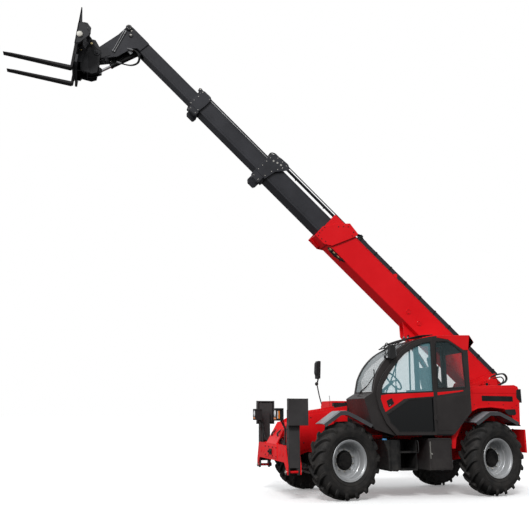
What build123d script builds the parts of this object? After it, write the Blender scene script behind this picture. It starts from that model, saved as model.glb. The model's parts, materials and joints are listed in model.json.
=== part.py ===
from build123d import *
import os, math

# Telehandler, millimetres. +X forward, +Y left, +Z up. The geometry is written about the middle of
# the wheelbase, 30 mm above the ground, and every node is moved by (-X_REF, 0, -Z_REF) at the end, so
# that the origin lies on the ground under the middle of the whole machine's box.

# ---------------------------------------------------------------- driving dimensions
X_REF, Z_REF = 2640.0, -30.0

WHEELBASE, TRACK = 2850.0, 1950.0
TYRE_R, TYRE_W, HUB_Z = 655.0, 410.0, 625.0
STEER = 13.0                              # parked in crab steer, all four wheels turned left
KINGPIN_Y = 780.0
XF, XR = 40 + WHEELBASE / 2, 40 - WHEELBASE / 2

FRAME_Y, FRAME_T = 360.0, 16.0            # outer face and thickness of the two side plates
TOWER_Y, TOWER_T = 262.0, 24.0            # inner face and thickness of the boom pivot cheeks

BOOM_ANGLE = 43.0                         # parked boom, above horizontal
PIVOT = (-1840.0, 1975.0)                 # boom foot pin, X and Z

# boom sections: rear u, front u, half width, bottom w, top w, wall, collar length, collar overhang
SECTIONS = {
    "boom_base":      (-300.0, 4460.0, 190.0, -225.0, 310.0, 10.0, 280.0, 28.0),
    "boom_section_2": (2000.0, 6210.0, 165.0, -155.0, 225.0,  9.0, 260.0, 38.0),
    "boom_section_3": (3950.0, 8050.0, 140.0, -137.0, 177.0,  8.0, 250.0, 36.0),
    "boom_section_4": (5750.0, 9620.0, 118.0, -120.0, 130.0,  7.0,   0.0,  0.0),
}
TILT_PIVOT = (9930.0, -800.0)             # u, w of the carriage pin at the end of the gooseneck
CARRIAGE_LEAN = 6.0                       # parked fork carriage, leaned back

LIFT_BASE, LIFT_EYE = (-1600.0, 950.0), (1740.0, -365.0)   # chassis pin X Z; boom pin u w
TILT_BASE, TILT_EYE = (9468.0, -98.0), (-108.0, -290.0)    # boom pin u w; coupler pin p q

STAB_X, STAB_Y, STAB_Z = 2345.0, 980.0, 450.0              # stabiliser leg pivot
STAB_BASE, STAB_EYE = (200.0, 950.0), (902.0, 740.0)       # cylinder pins, Y and Z, parked

DOOR_HINGE = (-262.0, 1178.0)             # X, Y
HOOD_HINGE = (-452.0, 1640.0)             # Y, Z


# ---------------------------------------------------------------- helpers
def box(x0, x1, y0, y1, z0, z1):
    return Pos((x0 + x1) / 2, (y0 + y1) / 2, (z0 + z1) / 2) * Box(abs(x1 - x0), abs(y1 - y0), abs(z1 - z0))


def prism(points, axis, a, b):
    """Straight-sided outline swept along one axis from a to b. points are (x, z), (y, z) or (x, y)."""
    put = {"y": lambda p: (p[0], a, p[1]), "x": lambda p: (a, p[0], p[1]), "z": lambda p: (p[0], p[1], a)}[axis]
    way = {"y": (0, b - a, 0), "x": (b - a, 0, 0), "z": (0, 0, b - a)}[axis]
    return Solid.extrude(Face(Wire.make_polygon([Vector(*put(p)) for p in points], close=True)), Vector(*way))


def outline(segments, y):
    """Closed face in an XZ plane from ("line"|"arc", points...) rows."""
    edges = []
    for kind, *pts in segments:
        v = [Vector(p[0], y, p[1]) for p in pts]
        edges.append(Edge.make_line(v[0], v[1]) if kind == "line" else Edge.make_three_point_arc(v[0], v[1], v[2]))
    return Face(Wire(edges))


def rod(p0, p1, r):
    """Round bar between two points."""
    a, b = Vector(*p0), Vector(*p1)
    return Solid.make_cylinder(r, (b - a).length, Plane(origin=a, z_dir=(b - a)))


def both(make):
    return [make(1), make(-1)]


def fuse(*parts):
    flat = []
    for p in parts:
        flat.extend(p if isinstance(p, (list, tuple)) else [p])
    out = flat[0]
    for p in flat[1:]:
        out = out + p
    return out


def shell(points, axis, a, b, t):
    """Closed hollow box from an outline: the outside less a smaller copy of itself."""
    cx, cz = sum(p[0] for p in points) / len(points), sum(p[1] for p in points) / len(points)
    reach = min(math.hypot(p[0] - cx, p[1] - cz) for p in points)
    k = 1 - 1.6 * t / reach
    inside = [(cx + (p[0] - cx) * k, cz + (p[1] - cz) * k) for p in points]
    lo, hi = min(a, b), max(a, b)
    return prism(points, axis, lo, hi) - prism(inside, axis, lo + t, hi - t)


def rect_tube(u0, u1, half, w0, w1, t):
    return box(u0, u1, -half, half, w0, w1) - box(u0 - 1, u1 + 1, -half + t, half - t, w0 + t, w1 - t)


def ym(y0, y1, s):
    return (y0, y1) if s > 0 else (-y1, -y0)


# boom frame: u along the boom from the foot pin, w across it, y as in the machine
BOOM_LOC = Pos(PIVOT[0], 0, PIVOT[1]) * Rot(0, -BOOM_ANGLE, 0)
CB, SB = math.cos(math.radians(BOOM_ANGLE)), math.sin(math.radians(BOOM_ANGLE))


def boom_xz(u, w):
    return PIVOT[0] + u * CB - w * SB, PIVOT[1] + u * SB + w * CB


# carriage frame: p forward from the carriage pin, q up along the carriage
TP = boom_xz(*TILT_PIVOT)
CAR_LOC = Pos(TP[0], 0, TP[1]) * Rot(0, -CARRIAGE_LEAN, 0)
CC, SC = math.cos(math.radians(CARRIAGE_LEAN)), math.sin(math.radians(CARRIAGE_LEAN))


def car_xz(p, q):
    return TP[0] + p * CC - q * SC, TP[1] + p * SC + q * CC


nodes = {}

# ---------------------------------------------------------------- chassis frame
side = [(-2040, 700), (-2040, 1180), (-1960, 1560), (-1500, 1700), (-1150, 1620), (-1150, 1000), (1112, 1000), (1112, 1550),
        (1850, 1440), (2240, 1250), (2284, 1150), (2284, 640), (2050, 690), (1880, 745), (1000, 560), (-1000, 560)]
rails = [prism(side, "y", *ym(FRAME_Y - FRAME_T, FRAME_Y, s)) for s in (1, -1)]
axle_hole = [Solid.make_cylinder(215, 1000, Plane(origin=(x, -500, HUB_Z), z_dir=(0, 1, 0))) for x in (XF, XR)]
slot = [box(x - 215, x + 215, -500, 500, 300, HUB_Z) for x in (XF, XR)]
rails = [r - fuse(*axle_hole) - fuse(*slot) for r in rails]
inner = FRAME_Y - FRAME_T
cheek = [(-1990, 1180), (-2110, 2020), (-2080, 2190), (-1900, 2160), (-1480, 2010), (-1330, 1760), (-1330, 1180)]
cross = [  # x0 x1 z0 z1
    (-2040, -1960, 720, 1160), (-1060, -1020, 570, 830), (-500, -460, 570, 860), (250, 290, 570, 900),
    (900, 940, 570, 1085), (1960, 2000, 700, 1150), (1180, 1900, 1180, 1196), (-1020, 900, 570, 582),
]
frame = fuse(
    rails,
    [box(x0, x1, -inner, inner, z0, z1) for x0, x1, z0, z1 in cross],
    [prism(cheek, "y", *ym(TOWER_Y, TOWER_Y + TOWER_T, s)) for s in (1, -1)],
    [box(-1990, -1330, *ym(TOWER_Y + TOWER_T, inner, s), 1190, 1215) for s in (1, -1)],
    [box(-1990, -1330, *ym(TOWER_Y + TOWER_T, inner, s), 1520, 1545) for s in (1, -1)],
    [Solid.make_cylinder(95, 34, Plane(origin=(PIVOT[0], s * (TOWER_Y + TOWER_T), PIVOT[1]), z_dir=(0, s, 0))) for s in (1, -1)],
    rod((PIVOT[0], -322, PIVOT[1]), (PIVOT[0], 322, PIVOT[1]), 45),
)
# lugs and pin for the lift cylinder, on a cross tube between the rails
lug = [(-1700, 860), (-1690, 1010), (-1600, 1050), (-1510, 1010), (-1500, 860)]
frame = fuse(
    frame,
    box(-1720, -1480, -inner, inner, 820, 862),
    [prism(lug, "y", *ym(62, 84, s)) for s in (1, -1)],
    rod((LIFT_BASE[0], -90, LIFT_BASE[1]), (LIFT_BASE[0], 90, LIFT_BASE[1]), 32),
    # axle mounting saddles
    [box(x - 150, x + 150, -inner, inner, 852, 872) for x in (XF,)],
    [box(x - 235, x - 217, -inner, inner, 730, 872) for x in (XF,)],
    [box(x + 217, x + 235, -inner, inner, 730, 872) for x in (XF,)],
)
nodes["chassis_frame"] = frame

# rear counterweight with the towing clevis
cw = prism([(-2042, 380), (-2195, 380), (-2195, 900), (-2232, 900), (-2345, 690), (-2345, -690), (-2232, -900), (-2195, -900), (-2195, -380), (-2042, -380)],
           "z", 700, 1120)
cw = cw - prism([(-2346, 1000), (-2346, 1121), (-2240, 1121)], "y", -905, 905)
cw = cw - box(-2346, -2230, -110, 110, 790, 900)
cw = fuse(cw, [box(-2345, -2230, *ym(70, 110, s), 790, 900) for s in (1, -1)])
cw = cw - Solid.make_cylinder(48, 200, Plane(origin=(-2300, 0, 1000), z_dir=(0, 0, 1)))
cw = cw - Solid.make_cylinder(20, 600, Plane(origin=(-2300, 0, 600), z_dir=(0, 0, 1)))
nodes["counterweight"] = cw

# front stabiliser carrier: crossmember, sloped nose plate and the leg brackets
beam = box(2290, 2470, -860, 860, 600, 880) - box(2302, 2458, -848, 848, 612, 868)
nose = prism([(2448, 880), (2472, 880), (2252, 1262), (2238, 1254)], "y", -inner, inner)
brackets = []
for s in (1, -1):
    for x0, x1 in ((2222, 2240), (2452, 2470)):
        brackets.append(prism([(s * 855, 600), (s * 1050, 410), (s * 1050, 560), (s * 940, 860), (s * 855, 880)], "x", x0, x1))
cyl_lug = [prism([(s * 130, 868), (s * 130, 985), (s * 200, 1010), (s * 262, 985), (s * 262, 868)], "x", x0, x1)
           for s in (1, -1) for x0, x1 in ((2284, 2298), (2392, 2406))]
pins = [rod((2216, s * STAB_Y, STAB_Z), (2476, s * STAB_Y, STAB_Z), 24) for s in (1, -1)]
pins += [rod((2284, s * STAB_BASE[0], STAB_BASE[1]), (2406, s * STAB_BASE[0], STAB_BASE[1]), 16) for s in (1, -1)]
for s in (1, -1):
    beam = beam - box(2300, 2392, *ym(250, 861, s), 640, 885) - box(2300, 2392, *ym(790, 861, s), 590, 885)
nodes["front_carrier"] = fuse(beam, nose, brackets, cyl_lug, pins,
                              [box(2222, 2292, *ym(700, 858, s), 612, 868) for s in (1, -1)])

# ---------------------------------------------------------------- axles, knuckles, wheels
def axle(x):
    z = HUB_Z
    tubes = rod((x, -620, z), (x, 620, z), 78)
    diff = Pos(x, 0, z) * Sphere(172)
    neck = rod((x - 230, 0, z), (x + 230, 0, z), 92) if x > 0 else rod((x, 0, z), (x + 260, 0, z), 92)
    ends = []
    for s in (1, -1):
        ends.append(box(x - 70, x + 70, *ym(600, 668, s), z - 190, z + 190))
        ends.append(box(x - 70, x + 70, *ym(668, KINGPIN_Y + 60, s), z + 150, z + 190))
        ends.append(box(x - 70, x + 70, *ym(668, KINGPIN_Y + 60, s), z - 190, z - 150))
        ends.append(rod((x, s * KINGPIN_Y, z + 118), (x, s * KINGPIN_Y, z + 190), 26))
        ends.append(rod((x, s * KINGPIN_Y, z - 190), (x, s * KINGPIN_Y, z - 118), 26))
    if x > 0:
        saddle = box(x - 130, x + 130, -60, 60, z + 90, 851)
    else:
        saddle = fuse([box(x - 120, x + 120, *ym(300, 343, s), z + 40, z + 150) for s in (1, -1)],
                      [box(x - 60, x + 60, *ym(240, 343, s), z - 60, z + 60) for s in (1, -1)])
    return fuse(tubes, diff, neck, ends, saddle)


nodes["front_axle"], nodes["rear_axle"] = axle(XF), axle(XR)


def knuckle(x, s):
    z, y = HUB_Z, s * KINGPIN_Y
    body = box(x - 85, x + 85, *ym(KINGPIN_Y - 60, KINGPIN_Y + 62, s), z - 140, z + 140)
    body = body - box(x - 100, x + 100, *ym(KINGPIN_Y - 61, KINGPIN_Y - 20, s), z - 100, z + 100)
    for a, b in ((110, 145), (-145, -110)):
        body = body - Solid.make_cylinder(26.5, b - a, Plane(origin=(x, y, z + a), z_dir=(0, 0, 1)))
    spindle = rod((x, s * (KINGPIN_Y + 50), z), (x, s * (KINGPIN_Y + 150), z), 110)
    arm = box(x - 220 if x > 0 else x + 60, x - 60 if x > 0 else x + 220, *ym(KINGPIN_Y - 50, KINGPIN_Y + 10, s), z - 120, z - 88)
    return fuse(body, spindle, arm)


def revolve_y(profile, x, s):
    """profile of (radius, y) points turned about the wheel axis through x."""
    f = Face(Wire.make_polygon([Vector(x + r, s * y, HUB_Z) for r, y in profile], close=True))
    return Solid.revolve(f, 360, Axis((x, 0, HUB_Z), (0, 1, 0)))


YC = TRACK / 2
HW = TYRE_W / 2
# tyre section: radius and distance from the wheel's mid-plane
TYRE_SECTION = [(321.4, -158), (350.6, -158), (366, -186), (440, -200), (548, -205), (612, -197), (641, -168), (655, -112),
                (655, 112), (641, 168), (612, 197), (548, 205), (440, 200), (366, 186), (350.6, 158), (321.4, 158)]
RIM_SECTION = [(308, -168), (308, -150), (297, -100), (286, -62), (275, -42), (155, -28), (155, -10), (280, -22), (290, 40), (297, 120),
               (308, 168), (350, 176), (350, 168), (321, 160), (321, -160), (350, -168), (350, -176)]
HUB_SECTION = [(0, -40), (150, -40), (165, -32), (165, -10), (144, 4), (138, 36), (120, 52), (0, 52)]


def steered(part, x, s):
    """turned left about the kingpin"""
    return Pos(x, s * KINGPIN_Y, 0) * Rot(0, 0, STEER) * Pos(-x, -s * KINGPIN_Y, 0) * part


for tag, x, s in (("front_left", XF, 1), ("front_right", XF, -1), ("rear_left", XR, 1), ("rear_right", XR, -1)):
    nodes["knuckle_" + tag] = steered(knuckle(x, s), x, s)
    nodes["tyre_" + tag] = steered(revolve_y([(r, YC + y) for r, y in TYRE_SECTION], x, s), x, s)
    nodes["rim_" + tag] = steered(revolve_y([(r, YC + y) for r, y in RIM_SECTION], x, s) + revolve_y([(r, YC + y) for r, y in HUB_SECTION], x, s), x, s)

# ---------------------------------------------------------------- fenders
FENDER_FRONT = [(1862, 1238), (1556, 1447), (1430, 1452), (1238, 1363), (966, 1220)]
FENDER_REAR = [(-1034, 1257), (-1325, 1441), (-1525, 1438), (-1738, 1342), (-1910, 1250)]
FENDER_ARM = {XF: (1430, 1452), XR: (-1200, 1363)}


def fender(x, s, crown):
    """Bent sheet over a wheel with a turned-down outer lip and a bracket to the side plate."""
    def shrunk(k):
        return [(x + (px - x) * k, HUB_Z + (pz - HUB_Z) * k) for px, pz in reversed(crown)]
    shell = prism(crown + shrunk(0.982), "y", *ym(740, 1195, s))
    lip = prism(crown + shrunk(0.925), "y", *ym(1183, 1207, s))
    xa, za = FENDER_ARM[x]
    arm = box(xa - 30, xa + 30, *ym(FRAME_Y, 750, s), za - 50, za - 20)
    return fuse(shell, lip, arm)


nodes["fenders"] = Compound(children=[fender(x, s, c) for x, c in ((XF, FENDER_FRONT), (XR, FENDER_REAR)) for s in (1, -1)])

# ---------------------------------------------------------------- cab
CAB_Y0, CAB_Y1, CAB_T = 255.0, 1150.0, 45.0
P = dict(a=(520, 1030), b=(935, 1150), c=(1085, 1640), d=(930, 1752), e=(877, 2000), f=(700, 2310), g=(360, 2574),
         h=(-20, 2735), i=(-400, 2802), j=(-1030, 2822), k=(-1110, 2700), l=(-985, 2570), m=(-985, 1440), n=(-620, 1060), o=(-560, 1030))


def cab_outline(y, d=0.0):
    q = dict(P)
    return outline([("line", q["a"], q["b"]), ("line", q["b"], q["c"]), ("line", q["c"], q["d"]), ("line", q["d"], q["e"]),
                    ("arc", q["e"], q["f"], q["g"]), ("arc", q["g"], q["h"], q["i"]), ("line", q["i"], q["j"]),
                    ("line", q["j"], q["k"]), ("line", q["k"], q["l"]), ("line", q["l"], q["m"]), ("line", q["m"], q["n"]),
                    ("line", q["n"], q["o"]), ("line", q["o"], q["a"])], y)


outer = Solid.extrude(cab_outline(CAB_Y0), Vector(0, CAB_Y1 - CAB_Y0, 0))
inner_face = outline([("line", (520, 1075), (900, 1180)), ("line", (900, 1180), (1032, 1622)), ("line", (1032, 1622), (885, 1725)),
                      ("line", (885, 1725), (833, 1985)), ("arc", (833, 1985), (665, 2282), (338, 2532)),
                      ("arc", (338, 2532), (-30, 2690), (-402, 2757)), ("line", (-402, 2757), (-940, 2770)),
                      ("line", (-940, 2770), (-940, 1458)), ("line", (-940, 1458), (-600, 1105)), ("line", (-600, 1105), (-560, 1075)),
                      ("line", (-560, 1075), (520, 1075))], CAB_Y0 + CAB_T)
hollow = Solid.extrude(inner_face, Vector(0, CAB_Y1 - CAB_Y0 - 2 * CAB_T, 0))
cab = outer - hollow
# door opening in the left side wall, up to the curved pillar
DOOR = [(-228, 1064), (518, 1064), (692, 1258), (814, 1508), (851, 1692), (853, 1752), (825, 1878), (704, 2108),
        (540, 2300), (375, 2475), (178, 2598), (-57, 2680), (-228, 2716)]
cab = cab - prism(DOOR, "y", CAB_Y1 - CAB_T - 2, CAB_Y1 + 2)
# rear quarter window, left
QUARTER = [(-320, 1850), (-895, 1860), (-905, 1900), (-880, 2300), (-878, 2505), (-720, 2638), (-575, 2716), (-345, 2706), (-320, 2660)]
cab = cab - prism(QUARTER, "y", CAB_Y1 - CAB_T - 2, CAB_Y1 + 2)
# right side window and its rear quarter
RIGHT_A = [(-330, 1720), (760, 1720), (800, 1985), (700, 2180), (520, 2345), (300, 2490), (70, 2600), (-330, 2690)]
RIGHT_B = [(-420, 1720), (-900, 1720), (-900, 2690), (-420, 2700)]
for w in (RIGHT_A, RIGHT_B):
    cab = cab - prism(w, "y", CAB_Y0 - 2, CAB_Y0 + CAB_T + 2)
# windscreen opening, between the two front pillars, and the rear window
cab = cab - prism([(1000, 1790), (810, 1790), (770, 2000), (600, 2230), (300, 2450), (120, 2540), (180, 2720), (500, 2600), (800, 2350), (980, 2000)],
                  "y", CAB_Y0 + 60, CAB_Y1 - 60)
cab = cab - box(-1010, -930, CAB_Y0 + 70, CAB_Y1 - 70, 1900, 2520)
# hinge brackets and pins for the door
for z in (1290, 2330):
    cab = cab + [box(DOOR_HINGE[0] - 14, DOOR_HINGE[0] + 10, CAB_Y1, DOOR_HINGE[1] + 11, z + a, z + b) for a, b in ((-16, -2), (92, 106))][0]
    cab = cab + box(DOOR_HINGE[0] - 14, DOOR_HINGE[0] + 10, CAB_Y1, DOOR_HINGE[1] + 11, z + 92, z + 106)
    cab = cab + Solid.make_cylinder(8.6, 118, Plane(origin=(*DOOR_HINGE, z - 14), z_dir=(0, 0, 1)))
nodes["cab_frame"] = cab

# glass panes in the fixed openings
wind = outline([("line", (915, 1796), (872, 1998)), ("arc", (872, 1998), (693, 2302), (356, 2566)), ("line", (356, 2566), (168, 2664)),
                ("line", (168, 2664), (165, 2658)), ("line", (165, 2658), (352, 2560)), ("arc", (352, 2560), (688, 2297), (866, 1996)),
                ("line", (866, 1996), (909, 1796)), ("line", (909, 1796), (915, 1796))], CAB_Y0 + 60.5)
windscreen = Solid.extrude(wind, Vector(0, CAB_Y1 - CAB_Y0 - 121, 0))
def pane(points, y0, y1, inset=0.5):
    cx = sum(p[0] for p in points) / len(points)
    cz = sum(p[1] for p in points) / len(points)
    k = 0.998
    return prism([(cx + (x - cx) * k, cz + (z - cz) * k) for x, z in points], "y", y0, y1)
nodes["cab_glass"] = Compound(children=[
    windscreen, pane(QUARTER, CAB_Y1 - 14, CAB_Y1 - 8), pane(RIGHT_A, CAB_Y0 + 8, CAB_Y0 + 14),
    pane(RIGHT_B, CAB_Y0 + 8, CAB_Y0 + 14), box(-976, -970, CAB_Y0 + 70.5, CAB_Y1 - 70.5, 1900.5, 2519.5)])

# door: a curved frame ring with belt rail, and its two panes
DO = [(-246, 1043), (530, 1045), (712, 1245), (835, 1500), (872, 1690), (874, 1755), (845, 1885), (722, 2120),
      (556, 2315), (389, 2493), (187, 2636), (-51, 2718), (-246, 2755)]
DI_UP = [(-214, 1792), (802, 1748), (770, 1896), (622, 2133), (474, 2311), (326, 2458), (107, 2595), (-59, 2664), (-214, 2690)]
DI_LOW = [(-214, 1094), (466, 1098), (638, 1259), (690, 1400), (444, 1552), (271, 1660), (-214, 1693)]
DY0, DY1 = CAB_Y1 + 6, CAB_Y1 + 48
door = prism(DO, "y", DY0, DY1)
for w in (DI_UP, DI_LOW):
    door = door - prism(w, "y", DY0 - 2, DY1 + 2)
hinge_eyes = [Solid.make_cylinder(17, 90, Plane(origin=(*DOOR_HINGE, z), z_dir=(0, 0, 1))) for z in (1290, 2330)]
door = fuse(door, hinge_eyes)
for z in (1290, 2330):
    door = door - Solid.make_cylinder(9, 92, Plane(origin=(*DOOR_HINGE, z - 1), z_dir=(0, 0, 1)))
nodes["cab_door"] = door
nodes["door_glass"] = Compound(children=[pane(DI_UP, DY0 + 16, DY0 + 22), pane(DI_LOW, DY0 + 16, DY0 + 22)])

# seat, console and steering wheel inside
seat_base = fuse(box(-360, 140, 470, 970, 1570, 1680), box(-300, 80, 530, 910, 1340, 1570), box(-220, 0, 600, 840, 1076, 1340))
seat_back = prism([(-360, 1681), (-270, 1681), (-390, 2270), (-490, 2270)], "y", 480, 960)
headrest = prism([(-400, 2280), (-468, 2280), (-490, 2460), (-430, 2460)], "y", 610, 830)
nodes["seat"] = Compound(children=[seat_base, seat_back, headrest])
column = fuse(box(560, 800, 420, 990, 1180, 1640), prism([(600, 1640), (760, 1640), (700, 1760), (560, 1760)], "y", 560, 850),
              rod((650, 705, 1732), (335, 705, 1985), 26),
              box(-500, 60, 305, 430, 1076, 1640))
wheel_axis = Vector(-255, 0, 205).normalized()
ring = Solid.make_torus(190, 15, Plane(origin=(320, 705, 1997), z_dir=wheel_axis))
spokes = [Solid.make_cylinder(12, 376, Plane(origin=(320, 705 - 188, 1997), z_dir=(0, 1, 0)))]
nodes["steering_console"] = fuse(column, ring, spokes)

# ---------------------------------------------------------------- bodies on the frame
def rear_pod(s):
    prof = [(-2022, 1205), (-2058, 1830), (-2030, 1905), (-1960, 1932), (-1030, 1905), (-1012, 1440), (-1160, 1500), (-1430, 1520), (-1700, 1492), (-1880, 1400), (-1915, 1240), (-1950, 1205)]
    skin = shell(prof, "y", *ym(FRAME_Y + 60, 1060, s), 14)
    hang = [box(-1950, -1100, *ym(FRAME_Y, FRAME_Y + 60, s), 1520, 1700)]
    return fuse(skin, hang)


# with the panel between the cab and the left rear wheel
corner = prism([(-845, 1262), (-640, 1052), (-606, 1010), (-596, 800), (-672, 800), (-700, 980), (-800, 1160)], "y", 700, 1060)
nodes["rear_body"] = Compound(children=[rear_pod(1), rear_pod(-1), corner])

# engine pod on the right, with its lid
POD_X = -860.0
pod = fuse(box(-640, 640, -1130, -FRAME_Y, 600, 640), box(-640, 640, -1130, -1112, 640, 1300), box(-640, -622, -1112, -FRAME_Y, 640, 1300),
           box(622, 640, -1112, -FRAME_Y, 640, 1300), box(POD_X, 1110, -1130, -FRAME_Y, 1300, 1318) - box(-620, 620, -1111, -420, 1290, 1330),
           box(POD_X, 1110, -1130, -1112, 1318, 1400), box(POD_X, POD_X + 18, -1112, -FRAME_Y - 92, 1318, 1400), box(1092, 1110, -1112, -FRAME_Y - 92, 1318, 1400),
           box(POD_X, 1110, -FRAME_Y - 92, -FRAME_Y, 1318, 1620))
nodes["engine_pod"] = pod
lid_out = prism([(-1130, 1404), (-1130, 1560), (-1050, 1655), (-460, 1655), (-460, 1404)], "x", POD_X, 1110)
lid_in = prism([(-1110, 1400), (-1110, 1552), (-1041, 1635), (-480, 1635), (-480, 1400)], "x", POD_X + 20, 1090)
nodes["engine_hood"] = fuse(lid_out - lid_in, [rod((x, *HOOD_HINGE), (x + 120, *HOOD_HINGE), 14) for x in (-800, 700)])
nodes["engine"] = box(-520, 420, -980, -475, 700, 1360) - box(-490, 390, -950, -505, 730, 1330)

# tank, steps and tool box on the left, under the cab
nodes["side_tank"] = fuse(shell([(735, 960), (668, 800), (646, 640), (646, 470), (616, 440), (480, 430), (440, 470), (440, 960)], "y", 560, 1090, 8),
                          [box(x, x + 40, FRAME_Y, 560, 900, 960) for x in (460, 600)])
nodes["cab_step"] = fuse(box(125, 432, 700, 1100, 742, 765), box(125, 432, 700, 1100, 445, 470), box(112, 127, 560, 1100, 445, 960),
                         box(125, 432, 560, 575, 445, 960), box(125, 312, FRAME_Y, 560, 920, 960))
nodes["toolbox"] = fuse(box(-540, -100, 560, 1150, 440, 985) - box(-532, -108, 568, 1142, 448, 977), [box(x, x + 40, FRAME_Y, 560, 900, 960) for x in (-540, -180)])
# cab mounts
nodes["cab_mounts"] = Compound(children=[box(x - 60, x + 60, FRAME_Y, 620, 985, 1030) + box(x - 60, x + 60, FRAME_Y, 380, 930, 1030) for x in (-436, 380)])

# ---------------------------------------------------------------- lamps and mirrors
lamps = []
for s in (1, -1):
    lamps.append(fuse(box(2470, 2600, *ym(680, 840, s), 1300, 1480), rod((2500, s * 760, 1310), (2415, s * 760, 1150), 16),
                      rod((2415, s * 760, 1156), (2432, s * 760, 884), 16), box(2404, 2460, s * 760 - 28, s * 760 + 28, 880, 888)))
    lamps.append(box(-2085, -2060, *ym(930, 1040, s), 1620, 1850))
nodes["lamps"] = Compound(children=lamps)
mir_l = fuse(prism([(545, 2350), (648, 2350), (640, 2600), (530, 2600), (512, 2400)], "y", 1206, 1300), rod((600, 1215, 2480), (560, 1120, 2462), 13)) - outer
mir_r = fuse(box(1129, 1169, -1250, -1050, 1890, 2450), rod((1149, -1150, 1900), (1149, -1124, 1640), 14),
             rod((1149, -1124, 1652), (1136, -1080, 1380), 14), box(1110, 1156, -1110, -1050, 1322, 1396))
nodes["mirrors"] = Compound(children=[mir_l, mir_r])

# ---------------------------------------------------------------- boom
def section(name):
    u0, u1, half, w0, w1, t, cl, co = SECTIONS[name]
    body = rect_tube(u0, u1, half, w0, w1, t)
    if cl:
        outer = box(u1 - cl, u1, -half - co, half + co, w0 - co, w1 + co)
        body = body + (outer - box(u1 - cl - 1, u1 + 1, -half + 1, half - 1, w0 + 1, w1 - 1))
    return body


def ring_pad(u0, u1, half, w0, w1, ih, iw0, iw1):
    return box(u0, u1, -half, half, w0, w1) - box(u0 - 1, u1 + 1, -ih, ih, iw0, iw1)


PIPE_W2, PIPE_W3, PIPE_R = 385.0, 262.0, 15.0
base = section("boom_base")
base = base + ring_pad(4400, 4460, 184, -219, 304, 173, -163, 233)
base = base - [box(4390, 4470, -75, 75, 225, 290)][0]
# foot boss, gussets and the lift lug under the belly
base = base + [Solid.make_cylinder(130, 60, Plane(origin=(0, s * 188, 0), z_dir=(0, s, 0))) for s in (1, -1)][0] \
            + [Solid.make_cylinder(130, 60, Plane(origin=(0, s * 188, 0), z_dir=(0, s, 0))) for s in (1, -1)][1]
base = base + rod((0, -190, 0), (0, 190, 0), 80)
base = base - rod((0, -400, 0), (0, 400, 0), 45.6)
LUG = [(2010, -224), (1910, -318), (1812, -415), (1740, -432), (1655, -400), (1560, -224)]
for s in (1, -1):
    base = base + prism(LUG, "y", *ym(70, 100, s))
base = base - rod((LIFT_EYE[0], -120, LIFT_EYE[1]), (LIFT_EYE[0], 120, LIFT_EYE[1]), 33)
nodes["boom_base"] = BOOM_LOC * base
tray = box(-150, 3800, -72, 72, 311, 462) - box(-151, 3801, -64, 64, 311 - 1, 454)
nodes["hose_tray"] = BOOM_LOC * tray

s2 = section("boom_section_2")
s2 = s2 + ring_pad(2000, 2120, 172, -207, 290, 155, -146, 216)
s2 = s2 + ring_pad(6170, 6210, 160, -150, 220, 148, -144, 186)
s2 = s2 - box(5900, 6230, -75, 75, 240, 285)
s2 = s2 + box(5960, 6000, -104, 104, 295, 420) + box(5960, 6000, -104, -80, 222, 296) + box(5960, 6000, 80, 104, 222, 296)
for y in (30, -30):
    s2 = s2 + rod((2100, y, PIPE_W2), (6100, y, PIPE_W2), PIPE_R)
nodes["boom_section_2"] = BOOM_LOC * s2

s3 = section("boom_section_3")
s3 = s3 + ring_pad(3950, 4050, 150, -141, 208, 132, -129, 169)
s3 = s3 + ring_pad(8010, 8050, 135, -132, 172, 126, -127, 139)
s3 = s3 + box(7850, 7900, -60, 60, 200, 280)
for y in (40, -40):
    s3 = s3 + rod((4350, y, PIPE_W3), (7870, y, PIPE_W3), PIPE_R)
nodes["boom_section_3"] = BOOM_LOC * s3

s4 = section("boom_section_4")
s4 = s4 + ring_pad(5750, 5850, 126, -123, 160, 111, -113, 123)
s4 = s4 - box(9330, 9700, -60, 60, -130, -90)
HEAD = [(9450, 130), (9900, 132), (9985, 80), (9965, -190), (10000, -640), (10022, -790), (9990, -870), (9920, -895), (9850, -860),
        (9640, -540), (9590, -200), (9520, -118), (9450, -118)]
for s in (1, -1):
    s4 = s4 + prism(HEAD, "y", *ym(117, 142, s))
s4 = s4 + prism([(9620, 118), (9900, 121), (9970, 78), (9950, -190), (9978, -560), (9965, -560), (9937, -190), (9956, 72), (9895, 108), (9620, 105)], "y", -118, 118)
s4 = s4 + rod((TILT_PIVOT[0], -192, TILT_PIVOT[1]), (TILT_PIVOT[0], 192, TILT_PIVOT[1]), 32)
s4 = s4 + rod((9935, -165, 60), (9935, 165, 60), 62)
for s in (1, -1):
    s4 = s4 + prism([(9400, -60), (9400, -140), (9468, -160), (9530, -140), (9530, -60)], "y", *ym(50, 70, s))
    s4 = s4 + box(9400, 9530, *ym(68, 118, s), -118, -100)
s4 = s4 + rod((TILT_BASE[0], -80, TILT_BASE[1]), (TILT_BASE[0], 80, TILT_BASE[1]), 20)
nodes["boom_section_4"] = BOOM_LOC * s4

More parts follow.
